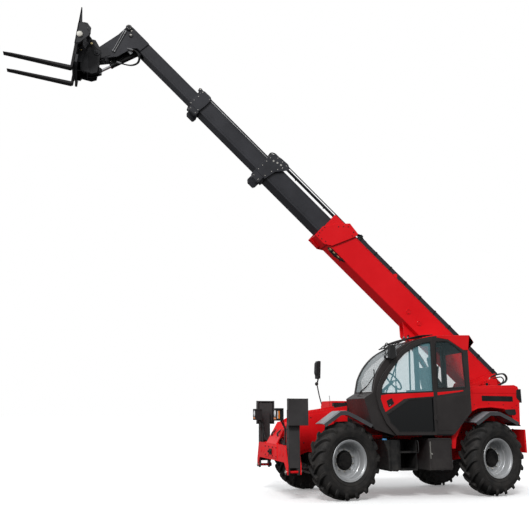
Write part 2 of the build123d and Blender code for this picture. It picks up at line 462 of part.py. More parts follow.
# ---------------------------------------------------------------- coupler, carriage and forks
COUP = [(-75, -40), (-70, 60), (-20, 150), (60, 258), (150, 262), (164, 200), (210, 170), (262, 60), (272, -385), (210, -440), (20, -450), (-70, -400), (-80, -180)]
coup = None
for s in (1, -1):
    pl = prism(COUP, "y", *ym(152, 176, s)) - rod((0, s * 140, 0), (0, s * 200, 0), 32.6)
    coup = pl if coup is None else coup + pl
coup = coup + box(92, 118, -152, 152, -430, -110)
coup = coup + rod((95, -190, 205), (95, 190, 205), 26)
for s in (1, -1):
    coup = coup + prism([(110, -430), (110, -200), (-60, -215), (-150, -262), (-150, -325), (-90, -360), (20, -430)], "y", *ym(52, 72, s))
coup = coup - rod((TILT_EYE[0], -80, TILT_EYE[1]), (TILT_EYE[0], 80, TILT_EYE[1]), 21)
nodes["coupler"] = CAR_LOC * coup

fork_frame = None
for s in (1, -1):
    end = prism([(380, 330), (230, 330), (150, 240), (140, 130), (300, -90), (396, -130), (396, 300)], "y", *ym(580, 604, s))
    mid = prism([(342, -460), (342, 300), (190, 310), (128, 240), (200, 60), (225, -60), (225, -460)], "y", *ym(196, 222, s))
    for p in (end, mid):
        fork_frame = p if fork_frame is None else fork_frame + p
fork_frame = fork_frame + box(170, 235, -580, 580, 215, 285)
fork_frame = fork_frame + box(296, 341, -520, 520, -455, -300)
fork_frame = fork_frame + rod((330, -640, 60), (330, 640, 60), 32)
fork_frame = fork_frame + box(372, 392, -604, 604, 600, 626) + box(372, 392, -604, 604, 318, 340)
for y in (-592, -300, 0, 300, 592):
    fork_frame = fork_frame + box(372, 392, y - 12, y + 12, 318, 626)
fork_frame = fork_frame + box(232, 380, -60, 60, 255, 280) + box(360, 382, -60, 60, 255, 330)
nodes["fork_carriage"] = CAR_LOC * fork_frame
forks = []
for s in (1, -1):
    y0, y1 = ym(265, 395, s)
    f = prism([(358, 20), (410, 20), (410, -478), (1450, -480), (1610, -489), (1610, -500), (450, -528), (400, -528), (365, -500)], "y", y0, y1)
    f = f + rod((330, y0, 60), (330, y1, 60), 62) + box(300, 410, y0, y1, 0, 70)
    f = f - rod((330, y0 - 5, 60), (330, y1 + 5, 60), 33.5)
    forks.append(CAR_LOC * f)
nodes["forks"] = Compound(children=forks)


# ---------------------------------------------------------------- cylinders
def cylinder(p0, p1, y, r_out, r_rod, barrel_len, rod_len, eye_r, eye_w, pin0, pin1, neck, eye_r1=None, plane="xz", x=0.0):
    """Barrel and rod between two pins. Each is built along Z from the barrel pin and turned into place."""
    a = Vector(p0[0], y, p0[1]) if plane == "xz" else Vector(x, p0[0], p0[1])
    b = Vector(p1[0], y, p1[1]) if plane == "xz" else Vector(x, p1[0], p1[1])
    d = b - a
    length = d.length
    side_dir = Vector(0, 1, 0) if plane == "xz" else Vector(1, 0, 0)
    loc = Plane(origin=a, x_dir=side_dir, z_dir=d).location
    r_in = r_out * 0.78
    eye_r1 = eye_r1 or eye_r
    barrel = Solid.make_cylinder(r_out, barrel_len - neck, Plane(origin=(0, 0, neck))) - Solid.make_cylinder(r_in, barrel_len - neck - 50, Plane(origin=(0, 0, neck + 25)))
    barrel = barrel - Solid.make_cylinder(r_rod + 0.4, 80, Plane(origin=(0, 0, barrel_len - 40)))
    eye0 = Solid.make_cylinder(eye_r, eye_w, Plane(origin=(-eye_w / 2, 0, 0), z_dir=(1, 0, 0)))
    barrel = barrel + eye0 + Pos(0, 0, (neck + 5) / 2) * Box(eye_w, eye_r * 1.5, neck + 5)
    barrel = barrel - Solid.make_cylinder(pin0 + 0.6, eye_w + 4, Plane(origin=(-eye_w / 2 - 2, 0, 0), z_dir=(1, 0, 0)))
    rodp = Solid.make_cylinder(r_rod, rod_len, Plane(origin=(0, 0, length - rod_len)))
    rodp = rodp + Solid.make_cylinder(r_in - 4, 50, Plane(origin=(0, 0, length - rod_len)))
    rodp = rodp + Solid.make_cylinder(eye_r1, eye_w, Plane(origin=(-eye_w / 2, 0, length), z_dir=(1, 0, 0)))
    rodp = rodp - Solid.make_cylinder(pin1 + 0.6, eye_w + 4, Plane(origin=(-eye_w / 2 - 2, 0, length), z_dir=(1, 0, 0)))
    return loc * barrel, loc * rodp


EYE_XZ = boom_xz(*LIFT_EYE)
nodes["lift_cylinder_barrel"], nodes["lift_cylinder_rod"] = cylinder(LIFT_BASE, EYE_XZ, 0, 82, 48, 1480, 1420, 68, 110, 32, 32, 128, 56)
TB, TE = boom_xz(*TILT_BASE), car_xz(*TILT_EYE)
nodes["tilt_cylinder_barrel"], nodes["tilt_cylinder_rod"] = cylinder(TB, TE, 0, 46, 27, 650, 580, 40, 86, 20, 20, 72)

# stabiliser legs: a twin-plate foot of the leg at the pivot, a box above, and the pad at the top
PAD_TOP = 1660.0
for tag, s in (("left", 1), ("right", -1)):
    yo = s * STAB_Y
    leg = None
    for x0, x1 in ((2246, 2266), (2424, 2444)):
        pl = prism([(s * (STAB_Y - 68), STAB_Z + 20), (s * (STAB_Y - 40), STAB_Z - 50), (s * (STAB_Y + 40), STAB_Z - 50), (s * (STAB_Y + 70), STAB_Z + 20),
                    (s * (STAB_Y + 70), 1210), (s * (STAB_Y - 68), 1210)], "x", x0, x1)
        leg = pl if leg is None else leg + pl
    leg = leg + box(2266, 2424, *ym(STAB_Y + 52, STAB_Y + 70, s), STAB_Z + 70, 1210)
    leg = leg + box(2266, 2424, *ym(STAB_Y - 68, STAB_Y - 50, s), 900, 1210)
    leg = leg + box(2266, 2424, *ym(STAB_Y - 68, STAB_Y + 70, s), 1190, 1210)
    for x0, x1 in ((2306, 2318), (2372, 2384)):
        leg = leg + prism([(s * 900, 690), (s * 880, 740), (s * 900, 790), (s * (STAB_Y + 52), 800), (s * (STAB_Y + 52), 690)], "x", x0, x1)
        leg = leg - rod((x0 - 2, s * STAB_EYE[0], STAB_EYE[1]), (x1 + 2, s * STAB_EYE[0], STAB_EYE[1]), 17)
    for x0, x1 in ((2240, 2246.5), (2443.5, 2450)):
        pass
    # pad: a deep foot whose bearing face looks outward when parked
    pad = box(2125, 2465, *ym(STAB_Y + 75, STAB_Y + 165, s), 1212, PAD_TOP)
    pad = pad - box(2145, 2445, *ym(STAB_Y + 74, STAB_Y + 147, s), 1232, PAD_TOP - 20)
    neck = box(2250, 2440, *ym(STAB_Y - 50, STAB_Y + 78, s), 1205, 1470)
    leg = leg + pad + neck + box(2250, 2440, *ym(STAB_Y + 70, STAB_Y + 150, s), 1380, 1440)
    leg = leg - rod((2230, yo, STAB_Z), (2460, yo, STAB_Z), 24.6)
    nodes["stabilizer_leg_" + tag] = leg
    b, r = cylinder((s * STAB_BASE[0], STAB_BASE[1]), (s * STAB_EYE[0], STAB_EYE[1]), 0, 40, 22, 680, 625, 32, 50, 16, 16, 72, plane="yz", x=STAB_X)
    nodes["stabilizer_barrel_" + tag], nodes["stabilizer_rod_" + tag] = b, r

# ---------------------------------------------------------------- write
if __name__ == "__main__" or True:
    os.makedirs("parts", exist_ok=True)
    for name, part in nodes.items():
        moved = Pos(-X_REF, 0, -Z_REF) * part
        export_step(moved, "parts/" + name + ".step")
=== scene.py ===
import math, json
import bpy, bmesh
from mathutils import Vector, Matrix, noise


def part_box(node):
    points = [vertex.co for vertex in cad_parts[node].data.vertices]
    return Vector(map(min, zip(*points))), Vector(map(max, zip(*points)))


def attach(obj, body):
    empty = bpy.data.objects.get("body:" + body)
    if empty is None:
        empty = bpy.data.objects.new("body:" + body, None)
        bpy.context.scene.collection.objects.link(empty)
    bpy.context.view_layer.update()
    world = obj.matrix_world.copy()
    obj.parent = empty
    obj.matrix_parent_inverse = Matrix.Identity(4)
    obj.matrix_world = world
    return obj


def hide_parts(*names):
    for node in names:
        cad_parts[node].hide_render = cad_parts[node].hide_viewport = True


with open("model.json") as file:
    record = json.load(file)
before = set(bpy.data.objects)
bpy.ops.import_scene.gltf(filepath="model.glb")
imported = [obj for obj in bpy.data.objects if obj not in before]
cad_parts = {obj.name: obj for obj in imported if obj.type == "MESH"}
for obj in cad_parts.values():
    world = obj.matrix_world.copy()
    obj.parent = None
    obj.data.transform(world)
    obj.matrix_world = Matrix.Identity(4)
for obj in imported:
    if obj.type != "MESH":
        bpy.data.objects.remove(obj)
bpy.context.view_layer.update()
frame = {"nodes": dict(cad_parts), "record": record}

# ------------------------------------------------------------------ frames of reference
# Machine coordinates are millimetres about the middle of the wheelbase, with the hubs at 625.
_lo, _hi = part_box("front_axle")
XO = (_lo.x + _hi.x) / 2 - 1.465
_lo, _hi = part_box("tyre_front_left")
ZO = (_lo.z + _hi.z) / 2 - 0.625
STEER = math.radians(13)
A43 = math.radians(43)
CB, SB = math.cos(A43), math.sin(A43)
PIVOT = (-1840.0, 1975.0)
TP = (PIVOT[0] + 9930 * CB + 800 * SB, PIVOT[1] + 9930 * SB - 800 * CB)
A6 = math.radians(6)
CC, SC = math.cos(A6), math.sin(A6)


def W(p):
    return Vector((p[0] / 1000 + XO, p[1] / 1000, p[2] / 1000 + ZO))


def BM(p):
    """boom coordinates u, y, w"""
    return W((PIVOT[0] + p[0] * CB - p[2] * SB, p[1], PIVOT[1] + p[0] * SB + p[2] * CB))


def CM(p):
    """carriage coordinates p, y, q"""
    return W((TP[0] + p[0] * CC - p[2] * SC, p[1], TP[1] + p[0] * SC + p[2] * CC))


def WH(x, s):
    """wheel coordinates: x and z from the hub, y outward from the wheel's mid-plane, turned about the kingpin"""
    c, d = math.cos(STEER), math.sin(STEER)
    return lambda p: W((x + p[0] * c - s * (195 + p[1]) * d, s * 780 + p[0] * d + s * (195 + p[1]) * c, 625 + p[2]))


# ------------------------------------------------------------------ materials
def _mat(name):
    m = bpy.data.materials.new(name)
    m.use_nodes = True
    nt = m.node_tree
    for n in list(nt.nodes):
        nt.nodes.remove(n)
    out = nt.nodes.new("ShaderNodeOutputMaterial")
    bs = nt.nodes.new("ShaderNodeBsdfPrincipled")
    nt.links.new(bs.outputs[0], out.inputs[0])
    return m, nt, bs


def _noise(nt, scale, detail=3, rough=0.55, vec=None):
    n = nt.nodes.new("ShaderNodeTexNoise")
    n.inputs["Scale"].default_value = scale
    n.inputs["Detail"].default_value = detail
    n.inputs["Roughness"].default_value = rough
    nt.links.new(vec, n.inputs["Vector"])
    return n.outputs["Fac"]


def _ramp(nt, fac, a, b, lo=0.0, hi=1.0):
    r = nt.nodes.new("ShaderNodeMapRange")
    r.inputs[1].default_value, r.inputs[2].default_value = a, b
    r.inputs[3].default_value, r.inputs[4].default_value = lo, hi
    nt.links.new(fac, r.inputs[0])
    return r.outputs[0]


def _mix(nt, fac, a, b):
    m = nt.nodes.new("ShaderNodeMix")
    m.data_type = "RGBA"
    for sock, v in ((m.inputs[6], a), (m.inputs[7], b)):
        if isinstance(v, (tuple, list)):
            sock.default_value = (*v, 1)
        else:
            nt.links.new(v, sock)
    nt.links.new(fac, m.inputs[0])
    return m.outputs[2]


def _bump(nt, bs, h, strength, dist):
    b = nt.nodes.new("ShaderNodeBump")
    b.inputs["Strength"].default_value = strength
    b.inputs["Distance"].default_value = dist
    nt.links.new(h, b.inputs["Height"])
    nt.links.new(b.outputs[0], bs.inputs["Normal"])


def surface(name, base, rough=0.4, metal=0.0, coat=0.0, coat_rough=0.08, var=0.12, var_scale=2.5, dust=0.0, dust_col=(0.30, 0.27, 0.24),
            dust_z=1.1, bump=0.0, bump_scale=120.0, bump_dist=0.0006, rough_var=0.1, spec=0.5, chips=0.0, chip_col=(0.25, 0.24, 0.23)):
    """Paint, plastic or metal: colour drifts, fine roughness changes, dust that gathers low down, a little surface grain."""
    m, nt, bs = _mat(name)
    tc = nt.nodes.new("ShaderNodeTexCoord").outputs["Object"]
    big = _noise(nt, var_scale, 4, 0.6, tc)
    dark = tuple(c * (1 - var) for c in base)
    light = tuple(min(1, c * (1 + var) + 0.004) for c in base)
    col = _mix(nt, _ramp(nt, big, 0.3, 0.7), dark, light)
    if chips:
        f = _ramp(nt, _noise(nt, 38, 6, 0.7, tc), 0.68, 0.72, 0, chips)
        col = _mix(nt, f, col, chip_col)
    if dust:
        sep = nt.nodes.new("ShaderNodeSeparateXYZ")
        nt.links.new(tc, sep.inputs[0])
        low = _ramp(nt, sep.outputs[2], dust_z, 0.2, 0.15, 1.0)
        cloud = _ramp(nt, _noise(nt, 5.5, 7, 0.65, tc), 0.42, 0.75, 0, dust)
        mul = nt.nodes.new("ShaderNodeMath")
        mul.operation = "MULTIPLY"
        nt.links.new(low, mul.inputs[0])
        nt.links.new(cloud, mul.inputs[1])
        col = _mix(nt, mul.outputs[0], col, dust_col)
    nt.links.new(col, bs.inputs["Base Color"])
    fine = _noise(nt, 22, 5, 0.6, tc)
    nt.links.new(_ramp(nt, fine, 0.3, 0.7, max(0.02, rough - rough_var), min(1, rough + rough_var)), bs.inputs["Roughness"])
    bs.inputs["Metallic"].default_value = metal
    bs.inputs["Specular IOR Level"].default_value = spec
    if coat:
        bs.inputs["Coat Weight"].default_value = coat
        bs.inputs["Coat Roughness"].default_value = coat_rough
    if bump:
        _bump(nt, bs, _noise(nt, bump_scale, 3, 0.6, tc), bump, bump_dist)
    return m


def glass_mat(name, col, alpha, rough=0.03):
    m, nt, bs = _mat(name)
    tc = nt.nodes.new("ShaderNodeTexCoord").outputs["Object"]
    f = _noise(nt, 1.6, 3, 0.5, tc)
    nt.links.new(_mix(nt, _ramp(nt, f, 0.3, 0.7), tuple(c * 0.93 for c in col), tuple(min(1, c * 1.05) for c in col)), bs.inputs["Base Color"])
    nt.links.new(_ramp(nt, _noise(nt, 9, 5, 0.6, tc), 0.35, 0.8, rough, rough + 0.05), bs.inputs["Roughness"])
    bs.inputs["Alpha"].default_value = alpha
    bs.inputs["Coat Weight"].default_value = 0.6
    bs.inputs["Coat Roughness"].default_value = 0.02
    m.blend_method = "BLEND" if hasattr(m, "blend_method") else None
    return m


def glass_zones(name, zones, rough=0.03):
    """Glazing whose colour and opacity change from pane to pane; on the door, painted shade below and partly painted
    sky above. zones is rows of (colour, alpha, limits); limits are (axis, metres, 1 above or -1 below).
    """
    m, nt, bs = _mat(name)
    tc = nt.nodes.new("ShaderNodeTexCoord").outputs["Object"]
    sep = nt.nodes.new("ShaderNodeSeparateXYZ")
    nt.links.new(tc, sep.inputs[0])
    cloud = _ramp(nt, _noise(nt, 1.6, 3, 0.5, tc), 0.3, 0.7)
    col, alpha = None, None
    for c, al, limits in zones:
        here = _mix(nt, cloud, tuple(v * 0.93 for v in c), tuple(min(1, v * 1.05) for v in c))
        if col is None:
            col = here
            alpha = al
            continue
        mask = None
        for axis, at, side in limits:
            g = nt.nodes.new("ShaderNodeMath")
            g.operation = "GREATER_THAN" if side > 0 else "LESS_THAN"
            nt.links.new(sep.outputs["XYZ".index(axis)], g.inputs[0])
            g.inputs[1].default_value = at
            if mask is None:
                mask = g.outputs[0]
            else:
                k = nt.nodes.new("ShaderNodeMath")
                k.operation = "MULTIPLY"
                nt.links.new(mask, k.inputs[0])
                nt.links.new(g.outputs[0], k.inputs[1])
                mask = k.outputs[0]
        col = _mix(nt, mask, col, here)
        am = nt.nodes.new("ShaderNodeMix")
        am.data_type = "FLOAT"
        nt.links.new(mask, am.inputs[0])
        if isinstance(alpha, float):
            am.inputs[2].default_value = alpha
        else:
            nt.links.new(alpha, am.inputs[2])
        am.inputs[3].default_value = al
        alpha = am.outputs[0]
    nt.links.new(col, bs.inputs["Base Color"])
    nt.links.new(alpha, bs.inputs["Alpha"])
    nt.links.new(_ramp(nt, _noise(nt, 9, 5, 0.6, tc), 0.35, 0.8, rough, rough + 0.05), bs.inputs["Roughness"])
    bs.inputs["Coat Weight"].default_value = 0.4
    bs.inputs["Coat Roughness"].default_value = 0.02
    return m


def fabric(name, base):
    m, nt, bs = _mat(name)
    tc = nt.nodes.new("ShaderNodeTexCoord").outputs["Object"]
    w1 = nt.nodes.new("ShaderNodeTexWave")
    w1.inputs["Scale"].default_value = 160
    w1.bands_direction = "Y"
    nt.links.new(tc, w1.inputs["Vector"])
    w2 = nt.nodes.new("ShaderNodeTexWave")
    w2.inputs["Scale"].default_value = 160
    w2.bands_direction = "Z"
    nt.links.new(tc, w2.inputs["Vector"])
    mul = nt.nodes.new("ShaderNodeMath")
    mul.operation = "MULTIPLY"
    nt.links.new(w1.outputs["Fac"], mul.inputs[0])
    nt.links.new(w2.outputs["Fac"], mul.inputs[1])
    col = _mix(nt, mul.outputs[0], tuple(c * 0.7 for c in base), tuple(c * 1.6 for c in base))
    nt.links.new(col, bs.inputs["Base Color"])
    bs.inputs["Roughness"].default_value = 0.9
    bs.inputs["Sheen Weight"].default_value = 0.3
    _bump(nt, bs, mul.outputs[0], 0.5, 0.0008)
    return m


def tread(name, base):
    m, nt, bs = _mat(name)
    tc = nt.nodes.new("ShaderNodeTexCoord").outputs["Object"]
    cloud = _ramp(nt, _noise(nt, 7, 7, 0.65, tc), 0.38, 0.78)
    fine = _noise(nt, 60, 5, 0.6, tc)
    col = _mix(nt, cloud, base, (0.032, 0.028, 0.025))
    col = _mix(nt, _ramp(nt, fine, 0.55, 0.85, 0, 0.30), col, (0.050, 0.044, 0.040))
    nt.links.new(col, bs.inputs["Base Color"])
    nt.links.new(_ramp(nt, fine, 0.3, 0.7, 0.62, 0.88), bs.inputs["Roughness"])
    bs.inputs["Specular IOR Level"].default_value = 0.35
    _bump(nt, bs, _noise(nt, 180, 4, 0.6, tc), 0.35, 0.0012)
    return m


RED = surface("red_paint_gloss", (0.70, 0.0050, 0.0085), 0.36, coat=0.07, var=0.05, dust=0.06, bump=0.05, bump_scale=400, rough_var=0.06, spec=0.14)
RED2 = surface("red_paint_boom", (0.72, 0.0050, 0.0095), 0.38, coat=0.06, var=0.06, var_scale=1.2, dust=0.0, bump=0.05, bump_scale=300, rough_var=0.07, spec=0.12)
CHAR = surface("charcoal_boom", (0.022, 0.0222, 0.027), 0.42, coat=0.05, var=0.30, var_scale=1.7, dust=0.0, bump=0.12, bump_scale=150, rough_var=0.12, spec=0.28)
BODY = surface("charcoal_body", (0.012, 0.0118, 0.012), 0.5, coat=0.05, var=0.2, dust=0.20, bump=0.1, bump_scale=200, spec=0.25)
CABM = surface("cab_brown_grey", (0.026, 0.0225, 0.0222), 0.44, coat=0.05, var=0.10, dust=0.08, bump=0.06, bump_scale=300, spec=0.25)
BLACK = surface("black_satin", (0.006, 0.006, 0.0065), 0.45, var=0.2, dust=0.15, bump=0.08, bump_scale=250, spec=0.25)
PLASTIC = surface("black_moulded", (0.010, 0.010, 0.0105), 0.55, var=0.15, dust=0.15, bump=0.3, bump_scale=500, bump_dist=0.0008, spec=0.3)
HEADD = surface("head_coupler", (0.0075, 0.0075, 0.009), 0.42, var=0.25, bump=0.1, spec=0.25)
HEAD = surface("head_black", (0.014, 0.014, 0.0165), 0.42, coat=0.05, var=0.25, dust=0.0, chips=0.2, chip_col=(0.14, 0.14, 0.14), bump=0.1, spec=0.28)
FORK = surface("fork_black", (0.010, 0.0088, 0.0092), 0.55, var=0.3, chips=0.15, chip_col=(0.12, 0.11, 0.10), bump=0.15, rough_var=0.12, spec=0.2)
FEND = surface("fender_grey", (0.21, 0.22, 0.235), 0.36, coat=0.2, var=0.12, dust=0.2, dust_z=1.6, bump=0.06, bump_scale=300)
FENDD = surface("fender_edge_grey", (0.045, 0.047, 0.052), 0.42, coat=0.1, var=0.12, dust=0.15, dust_z=1.6, bump=0.06, bump_scale=300, spec=0.35)
RIMM = surface("rim_silver", (0.40, 0.41, 0.42), 0.36, metal=0.3, coat=0.15, var=0.10, dust=0.4, dust_z=1.2, bump=0.08)
HUBM = surface("hub_black", (0.0035, 0.0035, 0.004), 0.7, var=0.2, dust=0.12, bump=0.15, spec=0.12)
PIPE = surface("steel_pipe", (0.20, 0.20, 0.205), 0.45, var=0.15, bump=0.05, spec=0.4)
# pale non-metal for the plated fork-bar caps: their zinc tone, with the bright reflection of the metal painted in as
# colour
PALE = surface("pale_pin", (0.62, 0.60, 0.54), 0.45, var=0.10, bump=0.08)
STABM = surface("stabilizer_grey", (0.034, 0.031, 0.0315), 0.44, coat=0.05, var=0.15, dust=0.08, bump=0.08, bump_scale=200, spec=0.28)
STEEL = surface("zinc_steel", (0.52, 0.50, 0.46), 0.34, metal=0.9, var=0.12, bump=0.1)
GOLD = surface("yellow_zinc", (0.62, 0.50, 0.26), 0.32, metal=0.9, var=0.15, bump=0.1)
CHROME = surface("rod_chrome", (0.78, 0.78, 0.80), 0.10, metal=1.0, var=0.03, rough_var=0.04)
IRON = surface("engine_iron", (0.055, 0.055, 0.058), 0.6, metal=0.3, var=0.3, dust=0.3, bump=0.5, bump_scale=90)
HOSE = surface("hose_rubber", (0.010, 0.010, 0.010), 0.6, var=0.2, bump=0.4, bump_scale=300, spec=0.3)
TYRE = tread("tyre_rubber", (0.0085, 0.0082, 0.0082))
GLASS = glass_zones("cab_glazing", [((0.10, 0.15, 0.16), 0.14, ()), ((0.30, 0.34, 0.35), 0.50, (("X", 0.16 + XO, 1), ("Y", 0.30, 1)))])
# door glass: the near-black, almost opaque lower pane is painted shade of the dark cab interior behind it; the pale
# cyan upper pane is a light tint with the sky seen through painted in
GLASSD = glass_zones("door_glazing", [((0.30, 0.62, 0.70), 0.22, ()), ((0.003, 0.0035, 0.004), 0.97, (("Z", 1.74 + ZO, -1),))])
LENS = glass_mat("lamp_lens", (0.85, 0.86, 0.88), 0.75, 0.08)
AMBER = surface("amber_lens", (0.85, 0.22, 0.01), 0.15, coat=0.8, var=0.05)
RLENS = surface("red_lens", (0.55, 0.01, 0.01), 0.15, coat=0.8, var=0.05)
MIRR = surface("mirror_face", (0.70, 0.73, 0.76), 0.04, metal=1.0, var=0.02, rough_var=0.01)
SEATM = fabric("seat_cloth", (0.016, 0.016, 0.018))
VINYL = surface("seat_vinyl", (0.014, 0.014, 0.015), 0.5, var=0.15, bump=0.4, bump_scale=260)


# ------------------------------------------------------------------ mesh building
def link(o):
    bpy.context.scene.collection.objects.link(o)
    return o


def dress(me, smooth):
    for p in me.polygons:
        p.use_smooth = True
    me.set_sharp_from_angle(angle=math.radians(smooth))


class MB:
    """Collects closed shapes in one coordinate frame and makes one object of them."""

    def __init__(self, T=W):
        self.v, self.f, self.T = [], [], T

    def add(self, vs, fs):
        n = len(self.v)
        self.v += [self.T(p) for p in vs]
        self.f += [tuple(i + n for i in f) for f in fs]
        return self

    def box(self, x0, x1, y0, y1, z0, z1):
        vs = [(x, y, z) for x in (x0, x1) for y in (y0, y1) for z in (z0, z1)]
        return self.add(vs, [(0, 1, 3, 2), (4, 6, 7, 5), (0, 4, 5, 1), (2, 3, 7, 6), (0, 2, 6, 4), (1, 5, 7, 3)])

    def sbox(self, x0, x1, y0, y1, z0, z1, s):
        return self.box(x0, x1, *((y0, y1) if s > 0 else (-y1, -y0)), z0, z1)

    def prism(self, pts, axis, a, b):
        put = {"y": lambda p, t: (p[0], t, p[1]), "x": lambda p, t: (t, p[0], p[1]), "z": lambda p, t: (p[0], p[1], t)}[axis]
        n = len(pts)
        vs = [put(p, a) for p in pts] + [put(p, b) for p in pts]
        fs = [tuple(range(n)), tuple(range(2 * n - 1, n - 1, -1))] + [(i, (i + 1) % n, n + (i + 1) % n, n + i) for i in range(n)]
        return self.add(vs, fs)

    def frame(self, pts, axis, a, b, k=None, inset=None):
        """closed band between an outline and its own inset copy"""
        cx, cz = sum(p[0] for p in pts) / len(pts), sum(p[1] for p in pts) / len(pts)
        ins = inset_poly(pts, k)
        put = {"y": lambda p, t: (p[0], t, p[1]), "x": lambda p, t: (t, p[0], p[1])}[axis]
        n = len(pts)
        vs = [put(p, a) for p in pts] + [put(p, a) for p in ins] + [put(p, b) for p in ins] + [put(p, b) for p in pts]
        fs = []
        for i in range(n):
            j = (i + 1) % n
            for r in range(4):
                q = (r + 1) % 4
                fs.append((r * n + i, r * n + j, q * n + j, q * n + i))
        return self.add(vs, fs)

    def cyl(self, p0, p1, r, n=24, r1=None):
        r1 = r if r1 is None else r1
        a, b = Vector(p0), Vector(p1)
        d = (b - a).normalized()
        u = d.orthogonal().normalized()
        v = d.cross(u)
        vs = []
        for c, rr in ((a, r), (b, r1)):
            for i in range(n):
                t = 2 * math.pi * i / n
                vs.append(c + (u * math.cos(t) + v * math.sin(t)) * rr)
        fs = [tuple(range(n - 1, -1, -1)), tuple(range(n, 2 * n))] + [(i, (i + 1) % n, n + (i + 1) % n, n + i) for i in range(n)]
        return self.add(vs, fs)

    def tube(self, pts, r, n=10, sub=6):
        """round bar or hose along a smooth line through the points"""
        line = smooth_line(pts, sub) if sub > 1 else [Vector(p) for p in pts]
        vs, m = [], len(line)
        prev = None
        for i, p in enumerate(line):
            d = (line[min(i + 1, m - 1)] - line[max(i - 1, 0)]).normalized()
            if prev is None:
                u = d.orthogonal().normalized()
            else:
                u = (prev - d * prev.dot(d)).normalized()
            prev = u
            v = d.cross(u)
            for k in range(n):
                t = 2 * math.pi * k / n
                vs.append(p + (u * math.cos(t) + v * math.sin(t)) * r)
        fs = [tuple(range(n - 1, -1, -1)), tuple(range((m - 1) * n, m * n))]
        for i in range(m - 1):
            for k in range(n):
                fs.append((i * n + k, i * n + (k + 1) % n, (i + 1) * n + (k + 1) % n, (i + 1) * n + k))
        return self.add(vs, fs)

    def lathe(self, prof, c, axis="y", n=64, close=False):
        """prof is (radius, along) rows; the ends are closed by discs unless close joins last to first"""
        c = Vector(c)
        ax = {"x": Vector((1, 0, 0)), "y": Vector((0, 1, 0)), "z": Vector((0, 0, 1))}[axis] if isinstance(axis, str) else Vector(axis).normalized()
        u = ax.orthogonal().normalized()
        v = ax.cross(u)
        vs = []
        for r, a in prof:
            for i in range(n):
                t = 2 * math.pi * i / n
                vs.append(c + ax * a + (u * math.cos(t) + v * math.sin(t)) * r)
        m = len(prof)
        fs = []
        rows = range(m) if close else range(m - 1)
        for j in rows:
            k = (j + 1) % m
            for i in range(n):
                fs.append((j * n + i, j * n + (i + 1) % n, k * n + (i + 1) % n, k * n + i))
        if not close:
            fs += [tuple(range(n - 1, -1, -1)), tuple(range((m - 1) * n, m * n))]
        return self.add(vs, fs)

    def bolt(self, p, d, r=11, h=8):
        p, d = Vector(p), Vector(d).normalized()
        self.cyl(p, p + d * h * 0.25, r * 1.35, 16)
        self.cyl(p + d * h * 0.2, p + d * h, r, 6)
        self.cyl(p + d * h * 0.95, p + d * h * 1.25, r * 0.5, 10)
        return self

    def torus(self, c, axis, R, r, n=40, m=12):
        prof = [(R + r * math.cos(2 * math.pi * k / m), r * math.sin(2 * math.pi * k / m)) for k in range(m)]
        return self.lathe(prof, c, axis, n, close=True)

    def make(self, name, mat, body, slot=None, bevel=0.0, seg=2, smooth=35, weld=True):
        me = bpy.data.meshes.new(name)
        me.from_pydata([tuple(v) for v in self.v], [], self.f)
        bm = bmesh.new()
        bm.from_mesh(me)
        bmesh.ops.recalc_face_normals(bm, faces=bm.faces)
        bm.to_mesh(me)
        bm.free()
        me.materials.append(mat)
        dress(me, smooth)
        o = link(bpy.data.objects.new(name, me))
        if bevel:
            b = o.modifiers.new("edges", "BEVEL")
            b.width, b.segments, b.limit_method, b.angle_limit = bevel / 1000, seg, "ANGLE", math.radians(32)
            b.harden_normals = True
            b.use_clamp_overlap = True
        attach(o, body)
        return o


def smooth_line(pts, sub):
    p = [Vector(q) for q in pts]
    if len(p) < 3:
        return p
    out = []
    ext = [p[0] * 2 - p[1]] + p + [p[-1] * 2 - p[-2]]
    for i in range(1, len(ext) - 2):
        a, b, c, d = ext[i - 1], ext[i], ext[i + 1], ext[i + 2]
        for k in range(sub):
            t = k / sub
            out.append(0.5 * ((2 * b) + (c - a) * t + (2 * a - 5 * b + 4 * c - d) * t * t + (3 * b - a - 3 * c + d) * t ** 3))
    out.append(p[-1])
    return out


def inset_poly(pts, d):
    """outline moved inward by d"""
    n = len(pts)
    area = sum(pts[i][0] * pts[(i + 1) % n][1] - pts[(i + 1) % n][0] * pts[i][1] for i in range(n)) / 2
    s = 1 if area > 0 else -1
    out = []
    for i in range(n):
        p0, p1, p2 = Vector(pts[i - 1]), Vector(pts[i]), Vector(pts[(i + 1) % n])
        e0, e1 = (p1 - p0).normalized(), (p2 - p1).normalized()
        n0, n1 = Vector((-e0.y, e0.x)) * s, Vector((-e1.y, e1.x)) * s
        b = n0 + n1
        b = b / max(0.35, b.dot(n0)) if b.length > 1e-6 else n0
        q = p1 + b * d
        out.append((q.x, q.y))
    return out


def rounded(pts, r, k=5):
    """outline with its corners rounded"""
    n = len(pts)
    out = []
    for i in range(n):
        p0, p1, p2 = Vector(pts[i - 1]), Vector(pts[i]), Vector(pts[(i + 1) % n])
        a, b = (p0 - p1), (p2 - p1)
        q = min(r, a.length * 0.45, b.length * 0.45)
        s, e = p1 + a.normalized() * q, p1 + b.normalized() * q
        for j in range(k + 1):
            t = j / k
            v = s * (1 - t) ** 2 + p1 * 2 * t * (1 - t) + e * t * t
            out.append((v.x, v.y))
    return out


NODE_BODY = {}
for _b, _ns in frame["record"]["behaviour"]["bodies"].items():
    for _n in _ns:
        NODE_BODY[_n] = _b


